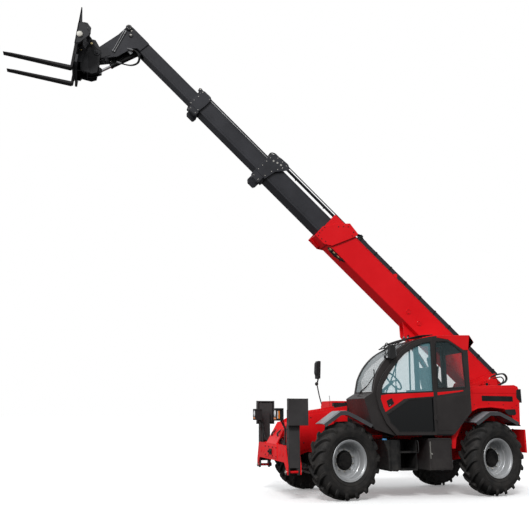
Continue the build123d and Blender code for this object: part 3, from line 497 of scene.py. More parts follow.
def skin(node, mat, bevel=4.0, seg=2, smooth=32, pick=None):
    """A worked copy of a CAD node: same surfaces, edges eased as on rolled, folded or cast parts."""
    src = frame["nodes"][node]
    me = src.data.copy()
    me.name = node + "_skin"
    bm = bmesh.new()
    bm.from_mesh(me)
    bmesh.ops.remove_doubles(bm, verts=bm.verts, dist=2e-5)
    bmesh.ops.dissolve_limit(bm, angle_limit=math.radians(0.6), verts=bm.verts, edges=bm.edges)
    bmesh.ops.recalc_face_normals(bm, faces=bm.faces)
    bm.to_mesh(me)
    bm.free()
    me.materials.clear()
    me.materials.append(mat)
    for a in list(me.attributes):
        if a.name == "custom_normal":
            me.attributes.remove(a)
    dress(me, smooth)
    o = link(bpy.data.objects.new(node + "_skin", me))
    o.matrix_world = src.matrix_world.copy()
    if bevel:
        b = o.modifiers.new("edges", "BEVEL")
        b.width, b.segments, b.limit_method, b.angle_limit = bevel / 1000, seg, "ANGLE", math.radians(30)
        b.harden_normals = True
        b.use_clamp_overlap = True
    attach(o, NODE_BODY[node])
    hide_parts(node)
    return o


for n, m, b in (
    ("chassis_frame", RED, 4), ("counterweight", RED, 14), ("front_carrier", RED, 5), ("front_axle", BLACK, 8), ("rear_axle", BLACK, 8),
    ("fenders", FEND, 5), ("cab_frame", CABM, 9), ("steering_console", PLASTIC, 10), ("rear_body", RED, 26), ("engine_pod", BODY, 6),
    ("engine_hood", RED, 18), ("engine", IRON, 10), ("side_tank", BODY, 18), ("cab_step", BLACK, 3), ("toolbox", CABM, 8), ("cab_mounts", BLACK, 4),
    ("lamps", PLASTIC, 8), ("boom_base", RED2, 5), ("hose_tray", CHAR, 7), ("boom_section_2", CHAR, 4),
    ("boom_section_3", CHAR, 4), ("boom_section_4", CHAR, 5), ("coupler", HEADD, 5), ("fork_carriage", HEAD, 5), ("forks", FORK, 6),
    ("lift_cylinder_barrel", BLACK, 4), ("lift_cylinder_rod", CHROME, 2), ("tilt_cylinder_barrel", BLACK, 3), ("tilt_cylinder_rod", CHROME, 2),
    ("stabilizer_leg_left", STABM, 5), ("stabilizer_leg_right", STABM, 5), ("stabilizer_barrel_left", BLACK, 3), ("stabilizer_barrel_right", BLACK, 3),
    ("stabilizer_rod_left", CHROME, 1.5), ("stabilizer_rod_right", CHROME, 1.5), ("cab_door", CABM, 10),
):
    skin(n, m, b)
for f in ("front", "rear"):
    for s in ("left", "right"):
        skin(f"knuckle_{f}_{s}", BLACK, 7)


# ------------------------------------------------------------------ wheels
CARC = [(0.0, 604), (60, 603), (112, 599), (150, 589), (176, 571), (192, 547), (202, 512), (203, 470), (196, 432), (186, 400), (178, 380), (168, 360), (160, 351)]
# a lug's line: distance from the mid-plane of its root and crown, and their radii
LUG = [(-14, -14, 596, 653.5), (24, 24, 595, 654.5), (60, 60, 593, 654), (96, 96, 589, 651.5), (130, 132, 582, 646), (158, 163, 572, 636),
       (178, 188, 556, 617), (192, 203, 532, 590), (196, 204.5, 508, 560), (192, 203, 490, 536)]


def carc(t):
    """point on the carcass, t 0 at the crown's middle to 1 at the bead: (y, r)"""
    x = t * (len(CARC) - 1)
    i = min(int(x), len(CARC) - 2)
    f = x - i
    return CARC[i][0] * (1 - f) + CARC[i + 1][0] * f, CARC[i][1] * (1 - f) + CARC[i + 1][1] * f


def wheel(tag, x, s):
    T = WH(x, s)
    body = "wheel_" + tag
    t = MB(T)
    prof = [(r, y) for y, r in reversed(CARC)] + [(r, -y) for y, r in CARC[1:]]
    prof = prof + [(323, -152), (323, 152)]
    # raised rings on the side wall
    t.lathe(prof, (0, 0, 0), "y", 96, close=True)
    for yy in (1, -1):
        t.lathe([(482, yy * 200), (479, yy * 206), (470, yy * 206), (466, yy * 200)], (0, 0, 0), "y", 96, close=True)
        t.lathe([(412, yy * 188), (409, yy * 195), (400, yy * 194), (395, yy * 183)], (0, 0, 0), "y", 96, close=True)
    # chevron lugs
    N = 18
    for yy in (1, -1):
        for k in range(N):
            th0 = 2 * math.pi * (k + (0.5 if yy < 0 else 0)) / N
            vs, fs = [], []
            for j, (y0, y1, r0, r1) in enumerate(LUG):
                f = max(0.0, min(1.0, (y1 + 14) / 217)) if j < 7 else 1.0
                th = th0 - 0.30 * (1 - f) ** 1.15
                hw = (23 + 10 * f) / 640
                if j >= 7:
                    hw *= 1 - 0.10 * (j - 6)
                for dth, rr, yq in ((-hw * 1.42, r0, y0), (-hw * 0.86, r1, y1), (hw * 0.86, r1, y1), (hw * 1.42, r0, y0)):
                    a = th + dth
                    vs.append((rr * math.cos(a), yy * yq, rr * math.sin(a)))
            m = len(LUG)
            for j in range(m - 1):
                for c in range(4):
                    d = (c + 1) % 4
                    fs.append((j * 4 + c, j * 4 + d, (j + 1) * 4 + d, (j + 1) * 4 + c))
            fs += [(3, 2, 1, 0), tuple((m - 1) * 4 + c for c in range(4))]
            t.add(vs, fs)
    o = t.make("tyre_" + tag + "_tread", TYRE, body, "tyre_rubber", bevel=3.5, seg=1, smooth=38)
    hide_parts("tyre_" + tag)
    # rim: flanges, stepped barrel and a dished disc
    r = MB(T)
    r.lathe([(349, 164), (350, 172), (346, 176), (337, 176), (327, 170), (318, 158), (312, 135), (303, 118), (296, 112), (293, -18), (289, -30), (275, -44), (258, -50),
             (220, -40), (200, -28), (186, -20), (166, -18), (166, -8), (190, -8), (206, -15), (226, -29), (258, -38), (268, -34), (276, -18), (279, 40), (288, 48), (290, 112), (293, 128),
             (300, 138), (302, 156), (310, 168)][::-1] + [(312, 168), (321, 174.5)], (0, 0, 0), "y", 96, close=True)
    r.lathe([(312, 135), (303, 118), (298, 112), (296, 20), (298, -60), (307, -150), (312, -164), (337, -175.5), (350, -175.5), (349, -164), (325, -160), (319, -150), (319, 150), (318, 158)],
            (0, 0, 0), "y", 96, close=True)
    ro = r.make("rim_" + tag + "_barrel", RIMM, body, "rim_silver", bevel=0, smooth=40)
    h = MB(T)
    h.lathe([(166, -40), (166, -10), (158, -4), (148, -4), (146, 8), (143, 22), (137, 34), (121, 42), (94, 45), (90, 49), (60, 51), (0.5, 51)], (0, 0, 0), "y", 64)
    h.lathe([(54, 48), (52, 55), (46, 55.5), (0.5, 55.5)], (0, 0, 0), "y", 40)
    h.lathe([(150, -40), (165, -36), (160, -10), (0.5, -10), (0.5, -40)], (0, 0, 0), "y", 48)
    for k in range(12):
        a = 2 * math.pi * k / 12 + 0.13
        h.bolt((105 * math.cos(a), 44, 105 * math.sin(a)), (0, 1, 0), 8, 8)
    ho = h.make("hub_" + tag, HUBM, body, "black_paint", bevel=1.5, smooth=35)
    b = MB(T)
    for k in range(10):
        a = 2 * math.pi * (k + 0.5) / 10
        c, d = math.cos(a), math.sin(a)
        b.cyl((183 * c, -12, 183 * d), (183 * c, -4, 183 * d), 17, 20)
        b.cyl((183 * c, -5, 183 * d), (183 * c, 13, 183 * d), 13.5, 6)
        b.cyl((183 * c, 12, 183 * d), (183 * c, 22, 183 * d), 8, 12)
    b.tube([(270, -30, 0), (256, 10, 0), (262, 50, 0)], 5, 8)
    b.make("wheel_nuts_" + tag, STEEL, body, "rim_silver", bevel=0.8, smooth=30)
    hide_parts("rim_" + tag)


for tag, x, s in (("front_left", 1465, 1), ("front_right", 1465, -1), ("rear_left", -1385, 1), ("rear_right", -1385, -1)):
    wheel(tag, x, s)

# ------------------------------------------------------------------ cab
L = "chassis"
DO = [(-246, 1043), (530, 1045), (712, 1245), (835, 1500), (872, 1690), (874, 1755), (845, 1885), (722, 2120), (556, 2315), (389, 2493), (187, 2636), (-51, 2718), (-246, 2755)]
DI_UP = [(-214, 1792), (802, 1748), (770, 1896), (622, 2133), (474, 2311), (326, 2458), (107, 2595), (-59, 2664), (-214, 2690)]
DI_LOW = [(-214, 1094), (466, 1098), (638, 1259), (690, 1400), (444, 1552), (271, 1660), (-214, 1693)]
QUARTER = [(-320, 1850), (-895, 1860), (-905, 1900), (-880, 2300), (-878, 2505), (-720, 2638), (-575, 2716), (-345, 2706), (-320, 2660)]

# rubber glazing beads and the door's weather strip
m = MB()
m.frame(rounded(DI_UP, 30), "y", 1195, 1201.5, 13)
m.frame(rounded(DI_LOW, 30), "y", 1195, 1201.5, 13)
m.frame(rounded(DI_UP, 30), "y", 1153, 1158, 16)
m.frame(rounded(DI_LOW, 30), "y", 1153, 1158, 16)
m.make("door_glazing_bead", HOSE, "door", "black_plastic", bevel=1.5, smooth=30)
m = MB()
m.frame(rounded(DO, 25), "y", 1150.4, 1156.5, 16)
m.make("door_weather_strip", HOSE, "door", "black_plastic", bevel=1.2, smooth=30)
m = MB()
m.frame(rounded(QUARTER, 40), "y", 1147, 1154, 18)
m.make("quarter_glass_bead", HOSE, L, "black_plastic", bevel=2, smooth=30)

# red flash on the door, with the flush paddle handle
m = MB()
m.prism([(801, 1660), (792, 1722), (676, 1741), (-214, 1781), (-214, 1711), (268, 1676), (365, 1660), (448, 1606), (724, 1437), (760, 1530)], "y", 1197, 1202.5)
m.make("door_flash", RED, "door", "red_paint", bevel=2, smooth=30)
m = MB()
m.prism([(-322, 1784), (-840, 1826), (-838, 1806), (-322, 1730)], "y", 1149, 1153)
m.make("rear_flash", RED, L, "red_paint", bevel=1.5, smooth=30)
hd = [(701, 1626), (597, 1679), (556, 1584), (661, 1513)]
m = MB()
m.frame(rounded(hd, 16), "y", 1200, 1208, 14)
m.prism(rounded(inset_poly(hd, 12), 10), "y", 1198, 1203)
m.prism(rounded([(672, 1612), (606, 1646), (590, 1608), (656, 1572)], 8), "y", 1202, 1207)
m.make("door_handle", PLASTIC, "door", "black_plastic", bevel=2, smooth=30)
m = MB()
m.cyl((632, 1200, 1552), (632, 1206, 1552), 13, 24)
m.cyl((632, 1205, 1552), (632, 1208, 1552), 8, 20)
m.box(630.5, 633.5, 1207, 1209, 1547, 1557)
m.make("door_lock", STEEL, "door", "rim_silver", bevel=0.6)

# embossed panel under the rear window and the sill trim
m = MB()
m.prism(rounded([(-300, 1680), (-905, 1762), (-905, 1480), (-636, 1120), (-300, 1110)], 30), "y", 1147, 1154)
m.make("rear_side_panel", CABM, L, "cab_charcoal", bevel=4, seg=3)
m = MB()
m.prism(rounded([(-560, 1033), (520, 1033), (520, 1058), (-575, 1058)], 8), "y", 1148, 1158)
m.make("sill_trim", BLACK, L, "black_paint", bevel=3)

# red cap over the rear of the roof
CAP = [(-366, 2796), (-366, 2809), (-1034, 2830), (-1119, 2700), (-992, 2558), (-983, 2567), (-1107, 2700), (-1028, 2818)]
SIDE = [(-366, 2806), (-1033, 2828), (-1117, 2700), (-991, 2560), (-962, 2550), (-890, 2553), (-735, 2652), (-590, 2738), (-366, 2768)]
m = MB()
m.prism(CAP, "y", 249, 1157)
for y0, y1 in ((1147, 1157), (249, 259)):
    m.prism(SIDE, "y", y0, y1)
m.make("roof_cap", RED, L, "red_paint", bevel=9, seg=3, smooth=35)

# guard bars over the roof glass and the windscreen's top
m = MB()
for y in (380, 520, 660, 800, 940, 1060):
    m.tube([(430, y, 2600), (330, y, 2672), (150, y, 2744), (-60, y, 2800), (-330, y, 2826)], 9, 10, 6)
m.tube([(428, 350, 2602), (428, 700, 2602), (428, 1090, 2602)], 11, 10, 2)
m.tube([(40, 350, 2776), (40, 700, 2776), (40, 1090, 2776)], 9, 10, 2)
m.make("roof_guard", BLACK, L, "black_paint", smooth=40)

# wiper, its motor cover and the scuttle shelf
m = MB()
m.tube([(925, 560, 1778), (930, 600, 1800), (905, 815, 1880), (872, 1000, 2015), (856, 1040, 2052)], 7, 8, 6)
m.tube([(925, 545, 1778), (926, 585, 1812), (900, 800, 1892)], 4, 8, 6)
m.box(838, 852, 1034, 1050, 1960, 2180)
m.cyl((905, 560, 1765), (935, 560, 1792), 20, 20)
m.make("wiper", BLACK, L, "black_paint", bevel=1, smooth=40)
m = MB()
m.prism([(1082, 1642), (1092, 1668), (1080, 1684), (935, 1766), (905, 1780), (905, 1752), (930, 1744), (1060, 1652)], "y", 262, 1146)
m.prism([(1040, 1690), (1010, 1735), (960, 1760), (945, 1752), (1030, 1690)], "y", 470, 650)
for y in (330, 1000, 1080):
    m.cyl((1020, y, 1700), (1032, y, 1716), 14, 16)
m.make("scuttle_shelf", CABM, L, "cab_charcoal", bevel=5, seg=2)
m = MB()
for i in range(9):
    y = 720 + i * 24
    m.box(955, 1045, y, y + 9, 1707 + 0, 1712)
m.make("scuttle_grille", BLACK, L, "black_paint", bevel=1)

# windscreen bead along both pillars
WS = [(918, 1797), (875, 1999), (803, 2152), (697, 2304), (543, 2442), (360, 2568), (170, 2666)]
for tag, y in (("left", 1084), ("right", 321)):
    m = MB()
    m.tube([(p[0] + 2, y, p[1] + 2) for p in WS], 9, 8, 5)
    m.make("windscreen_bead_" + tag, HOSE, L, "black_plastic")

# hinges, grab rails, work lamp and the mirror arm on the front pillar
m = MB()
for z in (1290, 2330):
    m.box(-300, -262, 1150, 1160, z - 18, z + 108)
    m.box(-252, -200, 1198, 1204, z + 12, z + 80)
    for dz in (26, 66):
        m.bolt((-226, 1203, z + dz), (0, 1, 0), 6, 6)
m.make("door_hinge_plates", CABM, "door", "cab_charcoal", bevel=2)
m = MB()
m.tube([(835, 1153, 1880), (838, 1185, 1895), (765, 1190, 2035), (690, 1185, 2150), (688, 1153, 2165)], 10, 10, 6)
m.make("pillar_grab_rail", BLACK, L, "black_paint", smooth=40)
m = MB()
m.box(575, 680, 1120, 1178, 2366, 2424)
m.box(585, 670, 1176, 1186, 2374, 2416)
m.tube([(650, 1150, 2430), (680, 1160, 2560), (640, 1160, 2640), (596, 1158, 2610), (600, 1150, 2520), (632, 1145, 2430)], 9, 10, 6)
m.make("pillar_work_lamp", PLASTIC, L, "black_plastic", bevel=4, smooth=35)
m = MB()
m.box(590, 665, 1185, 1188, 2378, 2412)
m.make("pillar_lamp_lens", LENS, L, "cab_glazing", bevel=1)

# interior: console panels, levers, wheel centre, pedals, right-hand instruments
m = MB()
m.prism([(-480, 1640), (60, 1640), (60, 1668), (20, 1690), (-440, 1700), (-480, 1690)], "y", 300, 436)
for i in range(4):
    x = -60 - i * 70
    m.cyl((x, 372, 1690), (x - 6, 380, 1760), 6, 12)
    m.lathe([(4, 0), (12, 4), (15, 16), (13, 30), (6, 38), (0.5, 39)], (x - 6, 380, 1756), "z", 16)
m.cyl((180, 420, 1680), (150, 440, 1830), 9, 12)
m.lathe([(8, 0), (20, 20), (24, 60), (22, 100), (14, 126), (0.5, 130)], (150, 440, 1800), "z", 20)
m.prism([(470, 1700), (540, 1700), (500, 1850), (460, 1850)], "y", 500, 620)
m.box(460, 620, 640, 700, 1085, 1110)
m.prism([(560, 1110), (600, 1110), (520, 1230), (500, 1220)], "y", 600, 660)
m.prism([(560, 1110), (600, 1110), (520, 1230), (500, 1220)], "y", 760, 830)
m.make("cab_controls", PLASTIC, L, "cab_plastic", bevel=3, smooth=35)
m = MB()
m.box(-330, -262, 470, 480, 1660, 1700)
for y in (300, 1100):
    m.tube([(-210, y, 1720), (-214, y, 2100), (-226, y, 2600)], 16, 12, 3)
m.tube([(330, 296, 1730), (150, 296, 2100), (-20, 296, 2540)], 14, 10, 3)
m.tube([(90, 300, 1720), (84, 300, 2050), (76, 300, 2480)], 9, 10, 3)
m.make("cab_inner_bars", BLACK, L, "black_paint", smooth=40)

# ------------------------------------------------------------------ seat, as padded cushions
def cushion(name, cx, cy, cz, sx, sy, sz, tilt, crown, channels=3, axis=2):
    """Closed crowned pad with sewn channels; the face is +Z before it is tilted about Y."""
    bm = bmesh.new()
    nx, ny = 22, 22
    grid = {}
    for side in (1, -1):
        for i in range(nx + 1):
            for j in range(ny + 1):
                u, v = i / nx * 2 - 1, j / ny * 2 - 1
                e = (1 - abs(u) ** 3.2) * (1 - abs(v) ** 3.2)
                pull_x = 1 - 0.045 * (1 - v * v) * abs(u) ** 6
                pull_y = 1 - 0.045 * (1 - u * u) * abs(v) ** 6
                x, y = u * sx / 2 * pull_x, v * sy / 2 * pull_y
                h = sz / 2 * (0.45 + 0.55 * max(0.0, e) ** 0.45)
                if side > 0:
                    h += crown * max(0.0, e) ** 0.6
                    for c in range(channels):
                        p = (c + 1) / (channels + 1) * 2 - 1
                        h -= 9 * math.exp(-((u - p) / 0.045) ** 2) * max(0.0, e) ** 0.3
                    h -= 8 * math.exp(-((abs(v) - 0.62) / 0.04) ** 2) * max(0.0, e) ** 0.3
                    h += 2.2 * noise.noise(Vector((x / 90, y / 90, 3.1 + cz / 500)))
                z = h if side > 0 else -sz / 2 * (0.6 + 0.4 * max(0.0, e) ** 0.5)
                if side < 0 and (i in (0, nx) or j in (0, ny)):
                    grid[(side, i, j)] = grid[(1, i, j)]
                    continue
                if i in (0, nx) or j in (0, ny):
                    z = 0
                ct, st = math.cos(tilt), math.sin(tilt)
                grid[(side, i, j)] = bm.verts.new(W((cx + x * ct + z * st, cy + y, cz - x * st + z * ct)))
    for side in (1, -1):
        for i in range(nx):
            for j in range(ny):
                q = [grid[(side, i, j)], grid[(side, i + 1, j)], grid[(side, i + 1, j + 1)], grid[(side, i, j + 1)]]
                bm.faces.new(q if side > 0 else q[::-1])
    bmesh.ops.recalc_face_normals(bm, faces=bm.faces)
    me = bpy.data.meshes.new(name)
    bm.to_mesh(me)
    bm.free()
    me.materials.append(SEATM)
    for p in me.polygons:
        p.use_smooth = True
    o = link(bpy.data.objects.new(name, me))
    s = o.modifiers.new("sub", "SUBSURF")
    s.levels = s.render_levels = 1
    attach(o, L)
    return o


SX, SZ = 200, 40
sc_ = cushion("seat_cushion", -300 + SX, 720, 1600 + SZ, 500, 480, 100, math.radians(-4), 22)
sb_ = cushion("seat_back_cushion", -566 + SX, 720, 1935 + SZ, 600, 470, 96, math.radians(101), 20, channels=4)
sh_ = cushion("seat_headrest", -658 + SX, 720, 2330 + SZ, 170, 230, 70, math.radians(97), 10, channels=0)
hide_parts("seat")
m = MB()
m.prism([(-560 + SX, 1532 + SZ), (-70 + SX, 1532 + SZ), (-60 + SX, 1560 + SZ), (-560 + SX, 1560 + SZ)], "y", 486, 954)
m.prism([(-600 + SX, 1600 + SZ), (-574 + SX, 1600 + SZ), (-668 + SX, 2226 + SZ), (-690 + SX, 2226 + SZ)], "y", 492, 948)
for y in (670, 770):
    m.cyl((-664 + SX, y, 2200 + SZ), (-672 + SX, y, 2290 + SZ), 7, 12)
m.box(-500 + SX, -120 + SX, 540, 900, 1300 + SZ, 1534 + SZ)
for i in range(7):
    z = 1320 + SZ + i * 28
    m.box(-506 + SX, -114 + SX, 534, 906, z, z + 13)
m.box(-430 + SX, -190 + SX, 590, 850, 1076, 1305 + SZ)
for y in (476, 950):
    m.tube([(-560 + SX, y, 1560 + SZ), (-470 + SX, y, 1590 + SZ), (-560 + SX, y, 1720 + SZ)], 12, 10, 5)
    m.prism([(-560 + SX, 1760 + SZ), (-250 + SX, 1770 + SZ), (-245 + SX, 1800 + SZ), (-560 + SX, 1810 + SZ)], "y", y - 24, y + 24)
so_ = m.make("seat_frame", VINYL, L, "seat_fabric", bevel=5, seg=2)

# ------------------------------------------------------------------ boom
B1, B2, B3, B4 = "boom_1", "boom_2", "boom_3", "boom_4"
for s, tag in ((1, "left"), (-1, "right")):
    m = MB(BM)
    m.prism([(4478, -286), (4480, -40), (4300, 232), (4130, 422), (3862, 384), (3872, 300), (3925, 170), (4085, -196), (4228, -290)], "y", *((217, 227) if s > 0 else (-227, -217)))
    m.prism([(4300, 300), (4292, 245), (4135, 410), (3880, 376), (3890, 300)], "y", *((120, 217) if s > 0 else (-217, -120)))
    m.prism([(4470, -250), (4470, -284), (4240, -286), (4240, -250)], "y", *((100, 218) if s > 0 else (-218, -100)))
    m.make("base_collar_cheek_" + tag, RED2, B1, "red_paint", bevel=4)
    m = MB(BM)
    for u, w in ((4440, -30), (4440, -110), (4440, -190), (4250, 190), (4180, 270), (4110, 340), (3960, 340), (3930, 260), (4240, -230), (4330, -250), (4420, -250)):
        m.bolt((u, s * 226, w), (0, s, 0), 9, 8)
    m.make("base_collar_bolts_" + tag, BLACK, B1, "black_paint", bevel=0.6)
    m = MB(BM)
    # flanges, boss covers, gusset plate over the foot and a lifting eye
    m.sbox(-190, 4175, 188, 200, -225, -211, s)
    m.sbox(-190, 4175, 188, 196, 296, 310, s)
    for u, w in ((2084, -23), (1771, -39)):
        m.cyl((u, s * 188, w), (u, s * 197, w), 52, 40)
        m.torus((u, s * 197, w), "y", 46, 4)
    m.prism(rounded([(-190, -195), (1150, -195), (900, 90), (250, 215), (-190, 215)], 60), "y", *((188, 199) if s > 0 else (-199, -188)))
    m.prism(rounded([(1500, -222), (2240, -222), (2140, -120), (1600, -120)], 30), "y", *((188, 197) if s > 0 else (-197, -188)))
    m.prism(rounded([(2700, 300), (2700, 352), (2745, 398), (2790, 352), (2790, 300)], 22), "y", *((150, 166) if s > 0 else (-166, -150)))
    m.cyl((0, s * 246, 0), (0, s * 252, 0), 92, 40)
    m.make("base_side_fittings_" + tag, RED2, B1, "red_paint", bevel=3)
    m = MB(BM)
    for k in range(8):
        a = 2 * math.pi * k / 8
        m.bolt((70 * math.cos(a), s * 251, 70 * math.sin(a)), (0, s, 0), 8, 8)
    m.cyl((0, s * 245, 0), (0, s * 262, 0), 40, 32)
    for u in (2084, 1771):
        w = -23 if u == 2084 else -39
        for k in range(4):
            a = math.pi / 4 + math.pi / 2 * k
            m.bolt((u + 34 * math.cos(a), s * 196, w + 34 * math.sin(a)), (0, s, 0), 5, 5)
    for u in range(400, 4000, 450):
        m.bolt((u, s * 196, 303), (0, s, 0), 5, 5)
    m.make("base_pin_fittings_" + tag, BLACK, B1, "black_paint", bevel=0.8)

# hose carrier under the base's front, with its couplings
m = MB(BM)
for i, y in enumerate((196, 176, 156)):
    m.tube([(4120, y, -262), (4040, y, -262 - 10 * i), (3940, y, -268 - 10 * i), (3840, y, -276), (3740, y, -244), (3700, y, -232)], 11, 10, 6)
m.make("belly_hoses", HOSE, B1, "black_plastic")
m = MB(BM)
for i, y in enumerate((196, 176, 156)):
    for u in (4085, 3985, 3870):
        m.cyl((u, y, -262 - 5 * i), (u - 34, y, -264 - 5 * i), 15, 6)
        m.cyl((u + 4, y, -262 - 5 * i), (u - 46, y, -264 - 5 * i), 12.5, 16)
m.make("belly_hose_couplings", GOLD, B1, "rod_chrome", bevel=0.8)
m = MB(BM)
m.box(3905, 3925, 140, 212, -300, -224)
m.box(4020, 4036, 140, 212, -296, -224)
m.box(3760, 3776, 140, 212, -300, -224)
m.make("belly_hose_clamps", BLACK, B1, "black_paint", bevel=2)

# hose tray lid: ribs, end rollers, clips
m = MB(BM)
for u in range(-60, 3750, 420):
    m.box(u, u + 36, -78, 78, 456, 468)
    m.box(u, u + 36, -78, -68, 330, 468)
    m.box(u, u + 36, 68, 78, 330, 468)
m.cyl((3770, -70, 470), (3770, 70, 470), 26, 28)
for y in (-74, 74):
    m.box(3740, 3800, y - 5, y + 5, 440, 500)
m.make("hose_tray_ribs", BLACK, B1, "black_paint", bevel=2)
m = MB(BM)
for y in (-36, -12, 12, 36):
    m.tube([(3900, y, 440), (3780, y, 498), (3700, y, 476), (3600, y, 474)], 9, 10, 6)
m.make("tray_end_hoses", HOSE, B1, "black_plastic")

# section 2: outer cheek of the collar, upper pipes, wear pads
for s, tag in ((1, "left"), (-1, "right")):
    m = MB(BM)
    y = (202, 212) if s > 0 else (-212, -202)
    m.prism([(6208, -192), (6208, 262), (6150, 340), (6000, 372), (5832, 384), (5744, 345), (5762, 262), (5905, 60), (5948, -192)], "y", *y)
    m.prism([(6150, 262), (6130, 330), (6000, 362), (5850, 372), (5790, 300), (5800, 262)], "y", *((150, 203) if s > 0 else (-203, -150)))
    m.prism([(6205, -192), (6205, -300), (6150, -352), (6010, -352), (5985, -300), (5985, -192)], "y", *((130, 208) if s > 0 else (-208, -130)))
    m.make("collar_2_cheek_" + tag, CHAR, B2, "charcoal_paint", bevel=4)
    m = MB(BM)
    for u, w in ((6170, 210), (6170, 100), (6170, -20), (6170, -140), (5990, -140), (5960, 20), (5900, 140), (5850, 240), (5830, 330), (5940, 330), (6060, 320), (6030, -300), (6150, -300)):
        m.bolt((u, s * 211, w), (0, s, 0), 8, 7)
    for u, w in ((6080, 210), (6000, 240), (5920, 260)):
        m.cyl((u, s * 211, w), (u, s * 214, w), 20, 24)
    m.make("collar_2_bolts_" + tag, STEEL, B2, "rod_chrome", bevel=0.5)
m = MB(BM)
for y in (48, -48):
    m.tube([(2100, y, 424), (6120, y, 424)], 11, 12, 1)
for u in (2300, 3100, 3900, 4700, 5500):
    m.box(u, u + 26, -60, 60, 366, 372)
m.make("section_2_upper_pipes", BLACK, B2, "black_paint", smooth=40)
m = MB(BM)
for y in (52, 30, -30, -52):
    m.tube([(6100, y, 424 if abs(y) > 40 else 385), (6180, y, 420), (6236, y, 380), (6244, y, 320), (6190, y, 286)], 9, 10, 6)
m.make("section_2_end_hoses", HOSE, B2, "black_plastic")

# section 3
for s, tag in ((1, "left"), (-1, "right")):
    m = MB(BM)
    y = (175, 183) if s > 0 else (-183, -175)
    m.prism([(8048, -172), (8048, 212), (8010, 236), (7850, 240), (7802, 212), (7790, 20), (7802, -172)], "y", *y)
    m.prism([(8130, 178), (8150, 240), (8120, 262), (8030, 250), (7960, 212), (8044, 178)], "y", *((96, 116) if s > 0 else (-116, -96)))
    m.prism([(7990, -172), (7990, -236), (7950, -272), (7800, -272), (7782, -240), (7782, -172)], "y", *((110, 180) if s > 0 else (-180, -110)))
    m.make("collar_3_cheek_" + tag, CHAR, B3, "charcoal_paint", bevel=4)
    m = MB(BM)
    for u, w in ((8020, 190), (8020, 60), (8020, -60), (8020, -150), (7830, 190), (7830, -150), (7820, -230), (7950, -230)):
        m.bolt((u, s * 182, w), (0, s, 0), 7, 6)
    m.make("collar_3_bolts_" + tag, STEEL, B3, "rod_chrome", bevel=0.5)
m = MB(BM)
m.cyl((8118, -118, 232), (8118, 118, 232), 17, 20)
m.make("section_3_roller", STEEL, B3, "rod_chrome", bevel=1)

# long weld seams and stiffening beads along each section's sides
for name, u0, u1, half, w, body, mt, r in (("section_2", 2130, 5940, 165, -105, B2, CHAR, 4), ("section_3", 4060, 7790, 140, -92, B3, CHAR, 4), ("section_4", 5860, 9440, 118, -78, B4, CHAR, 3.5)):
    m = MB(BM)
    for s in (1, -1):
        m.tube([(u0, s * half, w), ((u0 + u1) / 2, s * half, w), (u1, s * half, w)], r, 8, 1)
        m.tube([(u0, s * half, {"section_2": 195, "section_3": 150, "section_4": 104}[name]), (u1, s * half, {"section_2": 195, "section_3": 150, "section_4": 104}[name])], r * 0.8, 8, 1)
    m.make(name + "_seams", mt, body, "charcoal_paint")

# ------------------------------------------------------------------ gooseneck
for s, tag in ((1, "left"), (-1, "right")):
    m = MB(BM)
    m.cyl((9935, s * 141, 60), (9935, s * 172, 60), 60, 40)
    m.cyl((9935, s * 171, 60), (9935, s * 180, 60), 50, 40)
    m.cyl((9800, s * 141, -20), (9800, s * 156, -20), 44, 32)
    m.cyl((9468, s * 66, -98), (9468, s * 90, -98), 34, 24)
    m.prism([(9990, -820), (9900, -870), (9790, -760), (9740, -620), (9890, -560), (10000, -640)], "y", *((141, 149) if s > 0 else (-149, -141)))
    m.make("neck_bosses_" + tag, HEAD, B4, "charcoal_paint", bevel=4)
    m = MB(BM)
    for k in range(6):
        a = 2 * math.pi * k / 6
        m.bolt((9935 + 38 * math.cos(a), s * 179, 60 + 38 * math.sin(a)), (0, s, 0), 5, 5)
    m.bolt((9800, s * 155, -20), (0, s, 0), 14, 10)
    m.bolt((9858, s * 143, 58), (0, s, 0), 13, 12)
    m.make("neck_pin_bolts_" + tag, STEEL, B4, "rod_chrome", bevel=0.6)
m = MB(BM)
for a, b in (((9930, -110), (9780, -520)), ((9896, -98), (9746, -508))):
    m.tube([(a[0], 156, a[1]), (b[0], 156, b[1])], 8.5, 12, 1)
m.make("neck_pipes", PIPE, B4, "rod_chrome")
m = MB(BM)
for a, b in (((9930, -110), (9780, -520)), ((9896, -98), (9746, -508))):
    for t0, t1, r in ((-0.16, 0.02, 15), (0.97, 1.04, 13)):
        m.cyl((a[0] + (b[0] - a[0]) * t0, 156, a[1] + (b[1] - a[1]) * t0), (a[0] + (b[0] - a[0]) * t1, 156, a[1] + (b[1] - a[1]) * t1), r, 6)
m.make("neck_pipe_fittings", PIPE, B4, "rod_chrome", bevel=1)
# hose loop at the neck's heel
m = MB(BM)
for i, y in enumerate((150, 124, 98)):
    d = 16 * i
    m.tube([(9600, y, -250 + d), (9524, y, -196 + d), (9424, y, -196 + d), (9338, y, -262 + d), (9300, y, -356 + d), (9340, y, -470 + d), (9440, y, -560 + d), (9545, y, -622 + d)], 12, 10, 6)
m.make("neck_hose_loop", HOSE, B4, "black_plastic")
m = MB(BM)
for i, y in enumerate((150, 124, 98)):
    d = 16 * i
    m.cyl((9606, y, -254 + d), (9548, y, -214 + d), 16, 6)
    m.cyl((9562, y, -632 + d), (9496, y, -594 + d), 16, 6)
    m.cyl((9640, y, -276 + d), (9604, y, -254 + d), 12, 12)
m.box(9520, 9600, 84, 118, -300, -240)
m.make("neck_hose_fittings", PIPE, B4, "rod_chrome", bevel=0.8)
# valve block and red caps on the tilt cylinder
TBX = (9468.0, -98.0)
TEX = None


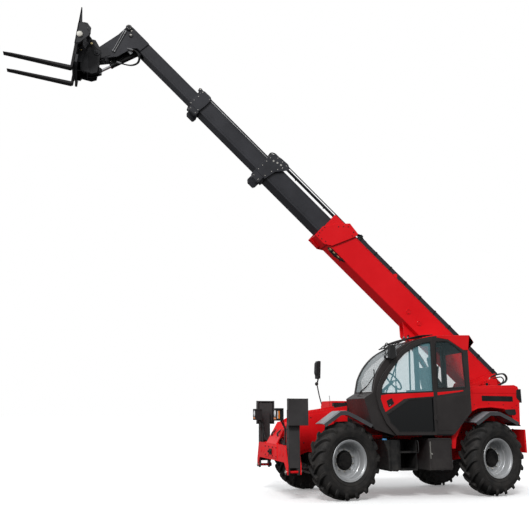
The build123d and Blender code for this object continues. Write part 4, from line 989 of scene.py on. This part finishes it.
def tilt_dir():
    """unit vector of the tilt cylinder in boom coordinates"""
    dx, dz = -108 * CC + 290 * SC, -108 * SC - 290 * CC
    ex, ez = TP[0] + dx - PIVOT[0], TP[1] + dz - PIVOT[1]
    u, w = ex * CB + ez * SB, -ex * SB + ez * CB
    d = Vector((u - TBX[0], 0, w - TBX[1]))
    return d.normalized(), d.length


TD, TL = tilt_dir()


def TC(p):
    """tilt cylinder coordinates: along from the barrel's pin, y, outward across"""
    return BM((TBX[0] + TD.x * p[0] - TD.z * p[2], p[1], TBX[1] + TD.z * p[0] + TD.x * p[2]))


m = MB(TC)
m.box(120, 190, -30, 30, 40, 78)
m.box(560, 620, -26, 26, 40, 70)
m.cyl((150, 0, 70), (560, 0, 62), 9, 12)
m.lathe([(48, 0), (52, 3), (52, 26), (48, 30)], (620, 0, 0), "x", 40)
m.make("tilt_cylinder_ports", BLACK, "tilt_barrel", "black_paint", bevel=2)
m = MB(TC)
for y in (-14, 14):
    m.cyl((155, y * 1.6, 76), (155, y * 1.6, 104), 13, 6)
m.cyl((590, 0, 68), (590, 0, 96), 12, 6)
m.make("tilt_cylinder_fittings", STEEL, "tilt_barrel", "rod_chrome", bevel=0.8)
m = MB(TC)
m.lathe([(15, 0), (17, 2), (17, 20), (14, 26), (0.5, 27)], (170, 34, 52), "y", 20)
m.make("tilt_cylinder_red_cap", RLENS, "tilt_barrel", "red_paint", bevel=0.8)

# ------------------------------------------------------------------ coupler, carriage and forks
CR = "carriage"
for s, tag in ((1, "left"), (-1, "right")):
    m = MB(CM)
    m.cyl((0, s * 176, 0), (0, s * 190, 0), 58, 36)
    m.lathe([(30, 0), (30, 10), (22, 16), (0.5, 17)], (0, s * 189, 0), (0, s, 0), 28)
    m.cyl((95, s * 176, 205), (95, s * 186, 205), 44, 32)
    m.prism([(-70, 58), (-18, 148), (60, 254), (148, 258), (160, 205), (60, 120), (0, 70)], "y", *((174, 182) if s > 0 else (-182, -174)))
    m.prism([(262, 50), (268, -380), (208, -434), (60, -440), (120, -300), (150, -60)], "y", *((174, 182) if s > 0 else (-182, -174)))
    m.make("coupler_bosses_" + tag, HEAD, CR, "charcoal_paint", bevel=4)
    m = MB(CM)
    m.lathe([(24, 0), (24, 12), (18, 18), (0.5, 19)], (120, s * 222, 139), (0, s, 0), 28)
    m.lathe([(22, 0), (22, 12), (16, 18), (0.5, 19)], (292, s * 222, -41), (0, s, 0), 28)
    m.make("carriage_pin_heads_" + tag, GOLD, CR, "rod_chrome", bevel=1)
    m = MB(CM)
    # plated caps in pale colour: zinc tone plus a painted reflection
    m.lathe([(50, 0), (55, 3), (55, 24), (48, 34), (28, 40), (0.5, 42)], (330, s * 603, 66), (0, s, 0), 32)
    m.make("fork_bar_caps_" + tag, PALE, CR, "rod_chrome", bevel=1)
    m = MB(CM)
    # lock bar, hook horns and stiffeners on the carriage's end plates
    m.prism([(388, 300), (372, 300), (372, -128), (392, -128)], "y", *((556, 604) if s > 0 else (-604, -556)))
    m.prism([(228, 330), (150, 242), (142, 140), (170, 120), (200, 240), (260, 300), (300, 330)], "y", *((604, 612) if s > 0 else (-612, -604)))
    m.cyl((185, s * 604, 225), (185, s * 616, 225), 40, 32)
    m.make("carriage_end_fittings_" + tag, HEAD, CR, "charcoal_paint", bevel=3)
    # fork heels: hooks and keeper plates
    m = MB(CM)
    y0, y1 = (258, 402) if s > 0 else (-402, -258)
    m.prism([(296, 74), (412, 74), (418, 40), (410, -12), (300, -12)], "y", y0, y0 + 7)
    m.prism([(296, 74), (412, 74), (418, 40), (410, -12), (300, -12)], "y", y1 - 7, y1)
    m.make("fork_heel_" + tag, FORK, CR, "fork_steel", bevel=3)
m = MB(CM)
for y in (-470, -150, 150, 470):
    m.box(372, 384, y - 8, y + 8, 320, 620)
m.box(300, 336, -500, 500, -300, -288)
for y0, y1 in ((226, 500), (-500, -226)):
    m.box(342, 354, y0, y1, -300, -8)
    m.box(232, 344, y0, y0 + 12, -300, -30)
m.box(344, 384, -256, 256, -470, -40)
for y0, y1 in ((590, 604), (-604, -590)):
    m.prism([(352, 300), (392, 300), (392, 622), (374, 622)], "y", y0, y1)
m.cyl((150, -150, -260), (150, 150, -260), 36, 28)
m.box(100, 290, -40, 40, -250, -210)
m.make("carriage_braces", HEAD, CR, "charcoal_paint", bevel=3)
m = MB(CM)
for y in (-110, -60, 60, 110):
    m.tube([(60, y, -120), (30, y, -40), (-40, y, 20), (-100, y, 60), (-150, y, 60)], 10, 10, 6)
m.make("coupler_hoses", HOSE, CR, "black_plastic")

# ------------------------------------------------------------------ lift cylinder
def lift_dir():
    ex, ez = PIVOT[0] + 1740 * CB + 365 * SB, PIVOT[1] + 1740 * SB - 365 * CB
    d = Vector((ex + 1600, 0, ez - 950))
    return d.normalized(), d.length


LD, LLEN = lift_dir()


def LC(p):
    return W((-1600 + LD.x * p[0] - LD.z * p[2], p[1], 950 + LD.z * p[0] + LD.x * p[2]))


m = MB(LC)
m.lathe([(82, 0), (90, 4), (90, 44), (82, 50)], (1430, 0, 0), "x", 48)
m.lathe([(82, 0), (88, 3), (88, 20), (82, 24)], (150, 0, 0), "x", 48)
m.box(180, 250, -30, 30, 78, 112)
m.box(1340, 1400, -30, 30, 78, 112)
m.tube([(250, 0, 100), (700, 0, 102), (1340, 0, 100)], 12, 12, 3)
m.make("lift_cylinder_ports", BLACK, "lift_barrel", "black_paint", bevel=2)

# ------------------------------------------------------------------ fenders: folds, ribs and bolts
FF = [(1862, 1238), (1556, 1447), (1430, 1452), (1238, 1363), (966, 1220)]
FR_ = [(-1034, 1257), (-1325, 1441), (-1525, 1438), (-1738, 1342), (-1910, 1250)]
for ft, X, crown in (("front", 1465, FF), ("rear", -1385, FR_)):
    for s, tag in ((1, "left"), (-1, "right")):
        m = MB()

        def off(k, q=crown, X=X):
            return [(X + (px - X) * k, 625 + (pz - 625) * k) for px, pz in q]
        # raised centre panel and the rolled outer edge
        a, b = off(1.0), off(1.009)
        inner = list(reversed(off(0.999)))
        m.prism(b + inner, "y", *((800, 1130) if s > 0 else (-1130, -800)))
        m.make("fender_panel_" + ft + "_" + tag, FEND, L, "fender_grey", bevel=4)
        m = MB()
        m.prism(off(1.002) + list(reversed(off(0.922))), "y", *((1199, 1209) if s > 0 else (-1209, -1199)))
        m.tube([(p[0], s * 1205, p[1]) for p in off(0.925)], 6, 8, 1)
        m.tube([(p[0], s * 742, p[1]) for p in off(0.992)], 6, 8, 1)
        m.make("fender_folds_" + ft + "_" + tag, FENDD, L, "fender_grey", bevel=2)
        m = MB()
        for p in off(1.01)[1:-1]:
            for y in (775, 1165):
                m.bolt((p[0], s * y, p[1] - 4), (0, 0, 1), 7, 6)
        m.make("fender_bolts_" + ft + "_" + tag, BLACK, L, "black_paint", bevel=0.5)
        # mud flap behind
        m = MB()
        q = off(0.985)
        e, h = q[-1], q[-2]
        d = Vector((e[0] - h[0], e[1] - h[1])).normalized()
        m.prism([(e[0], e[1]), (e[0] + d.x * 60, e[1] + d.y * 60 - 20), (e[0] + d.x * 60 + 6, e[1] + d.y * 60 - 26), (e[0] + 8, e[1] - 10)], "y", *((760, 1180) if s > 0 else (-1180, -760)))
        m.make("mud_flap_" + ft + "_" + tag, HOSE, L, "black_plastic", bevel=1)

# ------------------------------------------------------------------ rear body: lamps, blank plate, outlet, grille, hoses
m = MB()
m.prism(rounded([(-1262, 1733), (-1907, 1725), (-1905, 1628), (-1262, 1636)], 10), "y", 1058, 1063)
m.make("blank_plate_left", BLACK, L, "black_plastic", bevel=1)
m = MB()
m.prism(rounded([(-1262, 1733), (-1907, 1725), (-1905, 1628), (-1262, 1636)], 10), "y", -1063, -1058)
m.make("blank_plate_right", BLACK, L, "black_plastic", bevel=1)
for s, tag in ((1, "left"), (-1, "right")):
    m = MB()
    m.prism(rounded([(-2052, 1860), (-1990, 1838), (-1985, 1700), (-2042, 1640)], 20), "y", *((1050, 1068) if s > 0 else (-1068, -1050)))
    m.sbox(-2090, -2050, 925, 1066, 1610, 1858, s)
    m.prism(rounded([(-1730, 1486), (-1940, 1492), (-1950, 1400), (-1905, 1380), (-1800, 1384), (-1735, 1430)], 20), "y", *((1052, 1070) if s > 0 else (-1070, -1052)))
    m.make("rear_lamp_housing_" + tag, PLASTIC, L, "black_plastic", bevel=5, seg=3)
    m = MB()
    m.sbox(-2096, -2084, 935, 1056, 1740, 1848, s)
    m.make("rear_lamp_red_" + tag, RLENS, L, "red_paint", bevel=3)
    m = MB()
    m.sbox(-2096, -2084, 935, 1056, 1670, 1734, s)
    m.make("rear_lamp_amber_" + tag, AMBER, L, "red_paint", bevel=3)
    m = MB()
    m.sbox(-2095, -2084, 935, 1056, 1620, 1664, s)
    m.make("rear_lamp_clear_" + tag, LENS, L, "cab_glazing", bevel=3)
    # raised swage and fasteners on the pod's skin
    m = MB()
    m.prism(rounded([(-1060, 1870), (-1990, 1893), (-2010, 1780), (-1060, 1775)], 30), "y", *((1056, 1065) if s > 0 else (-1065, -1056)))
    m.prism([(-1430, 1524), (-1175, 1504), (-1050, 1452), (-1050, 1476), (-1170, 1530), (-1430, 1550), (-1700, 1524), (-1870, 1436), (-1900, 1300), (-1880, 1300), (-1850, 1420), (-1694, 1500)], "y", *((1054, 1066) if s > 0 else (-1066, -1054)))
    m.make("pod_swages_" + tag, RED, L, "red_paint", bevel=5, seg=3)
    m = MB()
    for x, z in ((-1100, 1570), (-1400, 1590), (-1700, 1570), (-1880, 1520), (-1960, 1330), (-1975, 1560)):
        m.bolt((x, s * 1059, z), (0, s, 0), 7, 6)
    m.make("pod_bolts_" + tag, BLACK, L, "black_paint", bevel=0.5)
    m = MB()
    for i in range(10):
        z = 1270 + i * 30
        m.sbox(-2075, -2030, 500, 900, z, z + 12, s)
    m.make("rear_grille_" + tag, BLACK, L, "black_paint", bevel=2)
m = MB()
for i, y in enumerate((300, 270, -270, -300)):
    m.tube([(-2060, y, 1830), (-2150, y, 1960), (-2285, y, 2030), (-2322, y, 2110), (-2262, y, 2182), (-2130, y * 0.98, 2172), (-2000, y * 0.94, 2130), (-1940, y * 0.92, 2090)], 14, 10, 6)
for y in (288, -288):
    m.tube([(-2050, y, 1840), (-2120, y, 1960), (-2215, y, 2010), (-2250, y, 2070), (-2200, y, 2120), (-2100, y, 2110), (-1990, y * 0.95, 2085)], 12, 10, 6)
for y in (-30, 0, 30):
    m.tube([(-1970, y, 1560), (-2190, y, 1700), (-2300, y * 1.2, 1880), (-2290, y * 1.4, 2020)], 12, 10, 6)
m.make("tower_hoses", HOSE, L, "black_plastic")
m = MB()
for y in (300, 270, -270, -300):
    m.cyl((-2058, y, 1810), (-2072, y, 1865), 19, 6)
    m.cyl((-1950, y * 0.92, 2110), (-1938, y * 0.92, 2076), 18, 6)
m.make("tower_hose_fittings", STEEL, L, "rod_chrome", bevel=1)
for s, tag in ((1, "left"), (-1, "right")):
    m = MB()
    m.cyl((PIVOT[0], s * 322, PIVOT[1]), (PIVOT[0], s * 336, PIVOT[1]), 82, 40)
    m.prism([(-1990, 1300), (-1900, 2080), (-1800, 2060), (-1480, 1960), (-1380, 1750), (-1400, 1300), (-1440, 1300), (-1440, 1730), (-1530, 1900), (-1800, 1990), (-1850, 1980), (-1940, 1300)],
            "y", *((290, 304) if s > 0 else (-304, -290)))
    m.make("tower_stiffener_" + tag, RED, L, "red_paint", bevel=4)
    m = MB()
    for k in range(8):
        a = 2 * math.pi * k / 8
        m.bolt((PIVOT[0] + 60 * math.cos(a), s * 334, PIVOT[1] + 60 * math.sin(a)), (0, s, 0), 8, 8)
    m.cyl((PIVOT[0], s * 334, PIVOT[1]), (PIVOT[0], s * 344, PIVOT[1]), 30, 24)
    m.make("tower_pin_bolts_" + tag, BLACK, L, "black_paint", bevel=0.8)

# counterweight: tow pin, chain plate, bolts
m = MB()
m.cyl((-2300, 0, 730), (-2300, 0, 1016), 17, 24)
m.cyl((-2300, 0, 1012), (-2300, 0, 1034), 28, 24)
m.tube([(-2300, 0, 1030), (-2300, 0, 1060), (-2320, 22, 1072), (-2300, 44, 1060), (-2300, 40, 1034)], 5, 8, 6)
m.make("tow_pin", STEEL, L, "rod_chrome", bevel=1)
m = MB()
for y in (-620, -420, -240, 240, 420, 620):
    m.bolt((-2150, y, 1120), (0, 0, 1), 14, 10)
m.make("counterweight_bolts", BLACK, L, "black_paint", bevel=1)

# ------------------------------------------------------------------ tank, steps and tool box
m = MB()
m.cyl((610, 780, 955), (610, 780, 985), 42, 32)
m.box(445, 475, 560, 1096, 462, 964)
m.box(600, 624, 560, 1096, 436, 964)
for z in (540, 760, 900):
    m.bolt((460, 1094, z), (0, 1, 0), 7, 7)
    m.bolt((612, 1094, z), (0, 1, 0), 7, 7)
m.make("tank_straps", BLACK, L, "black_paint", bevel=2)
m = MB()
m.lathe([(36, 0), (40, 3), (40, 22), (34, 30), (0.5, 31)], (690, 1030, 955), "z", 32)
for k in range(12):
    a = 2 * math.pi * k / 12
    m.box(690 + 39 * math.cos(a) - 3, 690 + 39 * math.cos(a) + 3, 1030 + 39 * math.sin(a) - 3, 1030 + 39 * math.sin(a) + 3, 958, 976)
CAPB = surface("blue_cap", (0.05, 0.22, 0.45), 0.4, var=0.08)
m.make("tank_blue_cap", CAPB, L, "black_plastic", bevel=1)
m = MB()
for z in (753, 457):
    for i in range(12):
        x = 135 + i * 24
        m.prism([(x, z + 12), (x + 12, z + 12), (x + 9, z + 21), (x + 3, z + 21)], "y", 1065, 1100)
    m.box(128, 430, 1098, 1104, z - 13, z + 16)
for x in (121, 436):
    m.box(x - 5, x + 5, 1090, 1102, 446, 958)
m.tube([(118, 1096, 940), (100, 1130, 930), (100, 1136, 760), (118, 1098, 740)], 10, 10, 6)
m.make("step_treads", BLACK, L, "black_paint", bevel=1.5)
m = MB()
m.frame([(-530, 975), (-112, 975), (-112, 452), (-530, 452)], "y", 1148, 1157, 14)
m.prism(rounded([(-505, 955), (-137, 955), (-137, 470), (-505, 470)], 12), "y", 1148, 1154)
m.cyl((-536, 1152, 960), (-536, 1152, 880), 10, 16)
m.cyl((-536, 1152, 560), (-536, 1152, 480), 10, 16)
m.make("toolbox_lid", CABM, L, "charcoal_paint", bevel=2.5)
m = MB()
m.box(-128, -112, 1153, 1164, 640, 930)
m.cyl((-150, 1153, 720), (-150, 1160, 720), 15, 20)
m.make("toolbox_latch_bar", STEEL, L, "rim_silver", bevel=2)

# ------------------------------------------------------------------ chassis side details
for s, tag in ((1, "left"), (-1, "right")):
    m = MB()
    m.prism(rounded([(1140, 1010), (1140, 1480), (1840, 1390), (2200, 1210), (2240, 1140), (2240, 700), (2080, 740), (1890, 790), (1700, 860)], 30), "y", *((360, 368) if s > 0 else (-368, -360)))
    m.sbox(-900, 880, 360, 378, 560, 590, s)
    m.sbox(-900, 1080, 360, 378, 972, 1000, s)
    for x in (1200, 1650):
        m.prism([(x, 870), (x + 40, 870), (x + 25, 1000), (x + 15, 1000)], "y", *((360, 400) if s > 0 else (-400, -360)))
    m.make("frame_side_plates_" + tag, RED, L, "red_paint", bevel=3)
    m = MB()
    for x, z in ((1220, 1060), (1220, 1440), (1500, 1060), (1820, 1340), (2180, 1180), (2200, 760), (1960, 900), (-1900, 1100), (-1900, 800), (-1700, 1600), (-1250, 1560), (-1200, 1060)):
        m.bolt((x, s * 367, z), (0, s, 0), 9, 8)
    for x in (-700, -300, 100, 500):
        m.cyl((x, s * 360, 780), (x, s * 366, 780), 46, 32)
    m.make("frame_side_bolts_" + tag, BLACK, L, "black_paint", bevel=0.8)

# ------------------------------------------------------------------ front carrier, lamps, stabilisers
for s, tag in ((1, "left"), (-1, "right")):
    m = MB()
    m.sbox(2594, 2604, 688, 832, 1308, 1472, s)
    m.sbox(2474, 2606, 672, 862, 1472, 1502, s)
    m.sbox(2474, 2606, 672, 862, 1290, 1308, s)
    m.sbox(2592, 2606, 830, 862, 1300, 1490, s)
    m.sbox(2474, 2496, 830, 862, 1300, 1490, s)
    m.make("headlamp_bezel_" + tag, PLASTIC, L, "black_plastic", bevel=3)
    m = MB()
    m.lathe([(58, 0), (56, 6), (40, 12), (0.5, 16)], (2600, s * 760, 1412), "x", 36)
    m.sbox(2568, 2604, 836, 845, 1325, 1455, s)
    m.make("headlamp_lens_" + tag, LENS, L, "cab_glazing", bevel=2, smooth=40)
    m = MB()
    m.sbox(2600, 2608, 700, 820, 1314, 1344, s)
    m.sbox(2540, 2566, 838, 846, 1325, 1455, s)
    m.make("headlamp_indicator_" + tag, AMBER, L, "red_paint", bevel=3)
    m = MB()
    m.sbox(2474, 2496, 690, 830, 1310, 1470, s)
    for i in range(6):
        m.sbox(2462, 2476, 700, 820, 1322 + 24 * i, 1332 + 24 * i, s)
    m.tube([(2470, s * 760, 1340), (2440, s * 750, 1260), (2420, s * 740, 1100), (2400, s * 700, 960), (2380, s * 600, 900)], 8, 8, 6)
    m.make("headlamp_back_" + tag, BLACK, L, "black_paint", bevel=1.5)
    lg = "stabilizer_" + tag
    m = MB()
    m.sbox(2125, 2465, 1142, 1147, 1214, 1658, s)
    m.sbox(2120, 2130, 1050, 1150, 1212, 1662, s)
    m.sbox(2460, 2470, 1050, 1150, 1212, 1662, s)
    m.sbox(2160, 2430, 1052, 1058, 1250, 1620, s)
    for x in (2200, 2390):
        m.sbox(x, x + 12, 1056, 1120, 1240, 1640, s)
    m.cyl((2240, s * 1062, 1420), (2450, s * 1062, 1420), 34, 28)
    m.make("stabilizer_pad_ribs_" + tag, STABM, lg, "charcoal_paint", bevel=3)
    m = MB()
    m.cyl((2238, s * 980, 450), (2246, s * 980, 450), 56, 36)
    m.cyl((2444, s * 980, 450), (2452, s * 980, 450), 56, 36)
    for x in (2242, 2448):
        m.prism([(s * 915, 520), (s * 1045, 520), (s * 1045, 700), (s * 915, 700)], "x", x - 4, x + 4)
    for z in (820, 1000, 1150):
        m.bolt((2446, s * 980, z), (1, 0, 0), 9, 8)
        m.bolt((2244, s * 980, z), (-1, 0, 0), 9, 8)
    m.make("stabilizer_leg_bosses_" + tag, STABM, lg, "charcoal_paint", bevel=2)
    m = MB()
    m.cyl((2206, s * 980, 450), (2218, s * 980, 450), 38, 28)
    m.cyl((2474, s * 980, 450), (2486, s * 980, 450), 38, 28)
    for x, d in ((2206, -1), (2486, 1)):
        m.bolt((x, s * 980, 450), (d, 0, 0), 13, 10)
    m.make("stabilizer_pin_heads_" + tag, STEEL, L, "rod_chrome", bevel=1)
m = MB()
for y in (-760, -560, 560, 760):
    m.cyl((2470, y, 740), (2476, y, 740), 50, 32)
m.box(2470, 2480, -420, 420, 640, 850)
m.box(2440, 2476, -420, -405, 600, 900)
m.box(2440, 2476, 405, 420, 600, 900)
m.make("front_beam_plates", RED, L, "red_paint", bevel=4)
m = MB()
for y in (-380, -130, 130, 380):
    for z in (670, 820):
        m.bolt((2479, y, z), (1, 0, 0), 12, 9)
m.cyl((2478, -60, 740), (2520, -60, 740), 20, 20)
m.cyl((2478, 60, 740), (2520, 60, 740), 20, 20)
m.box(2478, 2496, -90, 90, 690, 790)
m.make("front_tow_fittings", BLACK, L, "black_paint", bevel=1.5)
m = MB()
for i, y in enumerate((150, 180, -150, -180)):
    m.tube([(2260, y, 1180), (2330, y, 1120), (2400, y * 1.1, 1060), (2390, y * 1.3, 1000), (2345, y * 1.4, 960)], 10, 10, 6)
m.make("front_hoses", HOSE, L, "black_plastic")

# ------------------------------------------------------------------ mirrors and antenna
m = MB()
# right mirror: two heads on a bent stalk, on the engine side
m.prism(rounded([(1118, 2470), (1172, 2480), (1190, 2120), (1132, 2112)], 14), "y", -1246, -1060)
m.prism(rounded([(1160, 2480), (1200, 2440), (1212, 2230), (1180, 2150)], 18), "y", -1230, -1076)
m.cyl((1150, -1150, 2116), (1172, -1150, 2030), 15, 16)
m.lathe([(8, -34), (30, -24), (38, 0), (30, 24), (8, 34)], (1186, -1150, 2010), "y", 24)
m.tube([(1178, -1150, 2004), (1160, -1148, 1900), (1130, -1136, 1740), (1096, -1110, 1590), (1080, -1090, 1480), (1080, -1084, 1400)], 12, 12, 6)
m.lathe([(20, 0), (34, 8), (34, 60), (24, 70)], (1080, -1084, 1396), "z", 24)
mr = m.make("mirror_right", PLASTIC, L, "black_plastic", bevel=5, seg=2, smooth=40)
m = MB()
m.prism(rounded([(1122, 2460), (1117, 2462), (1131, 2124), (1136, 2122)], 2), "y", -1238, -1070)
m.make("mirror_right_face", MIRR, L, "rod_chrome", bevel=0.5)
m = MB()
m.tube([(560, 1146, 2462), (585, 1180, 2470), (600, 1212, 2480), (600, 1240, 2480)], 11, 12, 6)
m.prism(rounded([(534, 2598), (636, 2598), (646, 2354), (580, 2352), (516, 2402)], 24), "y", 1208, 1298)
ml = m.make("mirror_left", PLASTIC, L, "black_plastic", bevel=12, seg=3, smooth=40)
m = MB()
m.prism(rounded([(534, 2580), (529, 2580), (513, 2420), (518, 2412)], 1.5), "y", 1214, 1292)
m.make("mirror_left_face", MIRR, L, "rod_chrome", bevel=0.5)
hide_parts("mirrors")
m = MB()
m.tube([(1100, -600, 1640), (1104, -600, 1690), (1112, -600, 1760)], 5, 8, 4)
pts = []
for i in range(49):
    t = i / 48
    a = t * 2 * math.pi * 4
    pts.append((1100 + 14 * math.cos(a), -600 + 14 * math.sin(a), 1560 + 90 * t))
m.tube(pts, 3.5, 8, 1)
m.cyl((1092, -600, 1520), (1092, -600, 1562), 18, 16)
m.make("antenna", BLACK, L, "black_paint", smooth=40)

# ------------------------------------------------------------------ engine side
m = MB()
for i in range(16):
    x = -560 + i * 72
    m.box(x, x + 44, -1134, -1128, 1340, 1352)
    m.box(x, x + 44, -1134, -1128, 1370, 1382)
for i in range(14):
    z = 720 + i * 38
    m.box(-560, -60, -1136, -1128, z, z + 14)
m.frame([(-590, 700), (-30, 700), (-30, 1262), (-590, 1262)], "y", -1136, -1128, 22)
m.prism(rounded([(20, 700), (590, 700), (590, 1262), (20, 1262)], 20), "y", -1135, -1128)
m.make("engine_pod_grilles", BODY, L, "charcoal_paint", bevel=2.5)
m = MB()
for x in (-560, 0, 560):
    m.bolt((x, -1130, 660), (0, -1, 0), 9, 8)
m.cyl((560, -1134, 980), (560, -1144, 980), 24, 24)
m.box(540, 580, -1150, -1142, 972, 988)
m.make("engine_pod_latches", STEEL, L, "rod_chrome", bevel=1)
m = MB()
m.prism([(-1136, 1480), (-1052, 1660), (-700, 1662), (-700, 1655), (-1048, 1652), (-1126, 1484)], "x", -300, 600)
for i in range(10):
    x = -250 + i * 82
    m.box(x, x + 52, -1000, -760, 1655, 1665)
m.make("hood_louvres", BLACK, "hood", "black_paint", bevel=2)
m = MB()
m.prism(rounded([(-830, 1430), (1080, 1430), (1080, 1520), (-830, 1520)], 20), "y", -1136, -1128)
for x in (-780, 1030):
    m.box(x, x + 30, -1140, -1128, 1410, 1450)
m.make("hood_swage", RED, "hood", "red_paint", bevel=3)
m = MB()
m.lathe([(48, 0), (48, 190), (40, 200), (34, 200), (34, 190), (40, 184), (40, 6)], (-700, -620, 1640), "z", 32, close=True)
m.cyl((-700, -620, 1500), (-700, -620, 1660), 46, 32)
m.make("exhaust_stack", IRON, "hood", "engine_iron", bevel=0)

# axle details
for ft, x in (("front", 1465), ("rear", -1385)):
    m = MB()
    for k in range(10):
        a = 2 * math.pi * k / 10
        d = 1 if x > 0 else -1
        m.bolt((x + d * 100 * 1.32, 118 * math.cos(a), 625 + 118 * math.sin(a)), (d, 0, 0), 10, 9)
    for s in (1, -1):
        m.lathe([(78, 0), (104, 10), (104, 60), (78, 70)], (x, s * 520, 625), (0, s, 0), 36)
        m.cyl((x - 160, s * 180, 700), (x - 160, s * 520, 700), 24, 20)
        m.cyl((x - 160, s * 520, 700), (x - 160, s * 600, 700), 13, 16)
    m.make("axle_fittings_" + ft, BLACK, L, "black_paint", bevel=1.5)


# ------------------------------------------------------------------ glass that carries over
frame["nodes"]["cab_glass"].data.materials.clear()
frame["nodes"]["cab_glass"].data.materials.append(GLASS)
frame["nodes"]["door_glass"].data.materials.clear()
frame["nodes"]["door_glass"].data.materials.append(GLASSD)
frame["nodes"]["seat"].data.materials.clear()
frame["nodes"]["seat"].data.materials.append(SEATM)

# ------------------------------------------------------------------ studio
fm, fnt, fbs = _mat("studio_floor")
ftc = fnt.nodes.new("ShaderNodeTexCoord").outputs["Object"]
fnt.links.new(_mix(fnt, _ramp(fnt, _noise(fnt, 0.8, 4, 0.6, ftc), 0.3, 0.7), (0.86, 0.86, 0.86), (0.90, 0.90, 0.90)), fbs.inputs["Base Color"])
fbs.inputs["Roughness"].default_value = 0.9
fbs.inputs["Emission Color"].default_value = (1, 1, 1, 1)
fbs.inputs["Emission Strength"].default_value = 0.22
fme = bpy.data.meshes.new("floor")
R = 400
fme.from_pydata([(-R, -R, 0), (R, -R, 0), (R, R, 0), (-R, R, 0)], [], [(0, 1, 2, 3)])
fme.materials.append(fm)
floor = link(bpy.data.objects.new("floor", fme))
floor.location.z = -0.001
floor.visible_diffuse = False
floor.visible_glossy = False

# the backdrop is white; the light it gives is a soft sky, brighter above than below
sc = bpy.context.scene
w = bpy.data.worlds.new("studio")
sc.world = w
w.use_nodes = True
wn = w.node_tree
wn.nodes.clear()
wtc = wn.nodes.new("ShaderNodeTexCoord")
wsep = wn.nodes.new("ShaderNodeSeparateXYZ")
wn.links.new(wtc.outputs["Generated"], wsep.inputs[0])
wr = wn.nodes.new("ShaderNodeMapRange")
wr.interpolation_type = "SMOOTHSTEP"
for k, v in (("From Min", -0.25), ("From Max", 0.45), ("To Min", 0.07), ("To Max", 0.72)):
    wr.inputs[k].default_value = v
wn.links.new(wsep.outputs[2], wr.inputs["Value"])
sky, back = wn.nodes.new("ShaderNodeBackground"), wn.nodes.new("ShaderNodeBackground")
sky.inputs[0].default_value = (0.97, 0.985, 1.0, 1)
wn.links.new(wr.outputs["Result"], sky.inputs[1])
back.inputs[0].default_value = (1, 1, 1, 1)
back.inputs[1].default_value = 1.0
lp, mx, wo = wn.nodes.new("ShaderNodeLightPath"), wn.nodes.new("ShaderNodeMixShader"), wn.nodes.new("ShaderNodeOutputWorld")
wn.links.new(lp.outputs["Is Camera Ray"], mx.inputs[0])
wn.links.new(sky.outputs[0], mx.inputs[1])
wn.links.new(back.outputs[0], mx.inputs[2])
wn.links.new(mx.outputs[0], wo.inputs[0])


def area(name, loc, target, size, power, col=(1, 1, 1)):
    l = bpy.data.lights.new(name, "AREA")
    l.shape, l.size, l.size_y, l.energy, l.color = "RECTANGLE", size[0], size[1], power, col
    o = link(bpy.data.objects.new(name, l))
    o.location = loc
    o.rotation_euler = (Vector(target) - Vector(loc)).to_track_quat("-Z", "Y").to_euler()
    return o


area("soft_side", (10, 13, 9), (0, 0, 2), (7, 7), 420)
area("soft_front", (15, 3, 4), (0, 0, 2), (7, 7), 900)
sun = bpy.data.lights.new("sun", "SUN")
sun.energy, sun.angle = 1.75, math.radians(14)
so = link(bpy.data.objects.new("sun", sun))
so.rotation_euler = (Vector((0, 0, 0)) - Vector((0.35, 0.7, 0.62))).to_track_quat("-Z", "Y").to_euler()

cam = bpy.data.cameras.new("camera")
co = link(bpy.data.objects.new("camera", cam))
cam.sensor_fit, cam.sensor_width, cam.lens = "HORIZONTAL", 36, 690.93 / 529 * 36
cam.clip_start, cam.clip_end = 0.1, 2000
az, pitch = math.radians(14.44), math.radians(13.19)
fwd = Vector((-math.sin(az) * math.cos(pitch), -math.cos(az) * math.cos(pitch), math.sin(pitch)))
co.location = (5.8511 + XO, 12.6468, 1.3962 + ZO)
co.rotation_euler = fwd.to_track_quat("-Z", "Y").to_euler()
sc.camera = co
sc.view_settings.view_transform = "Standard"
sc.view_settings.look = "None"
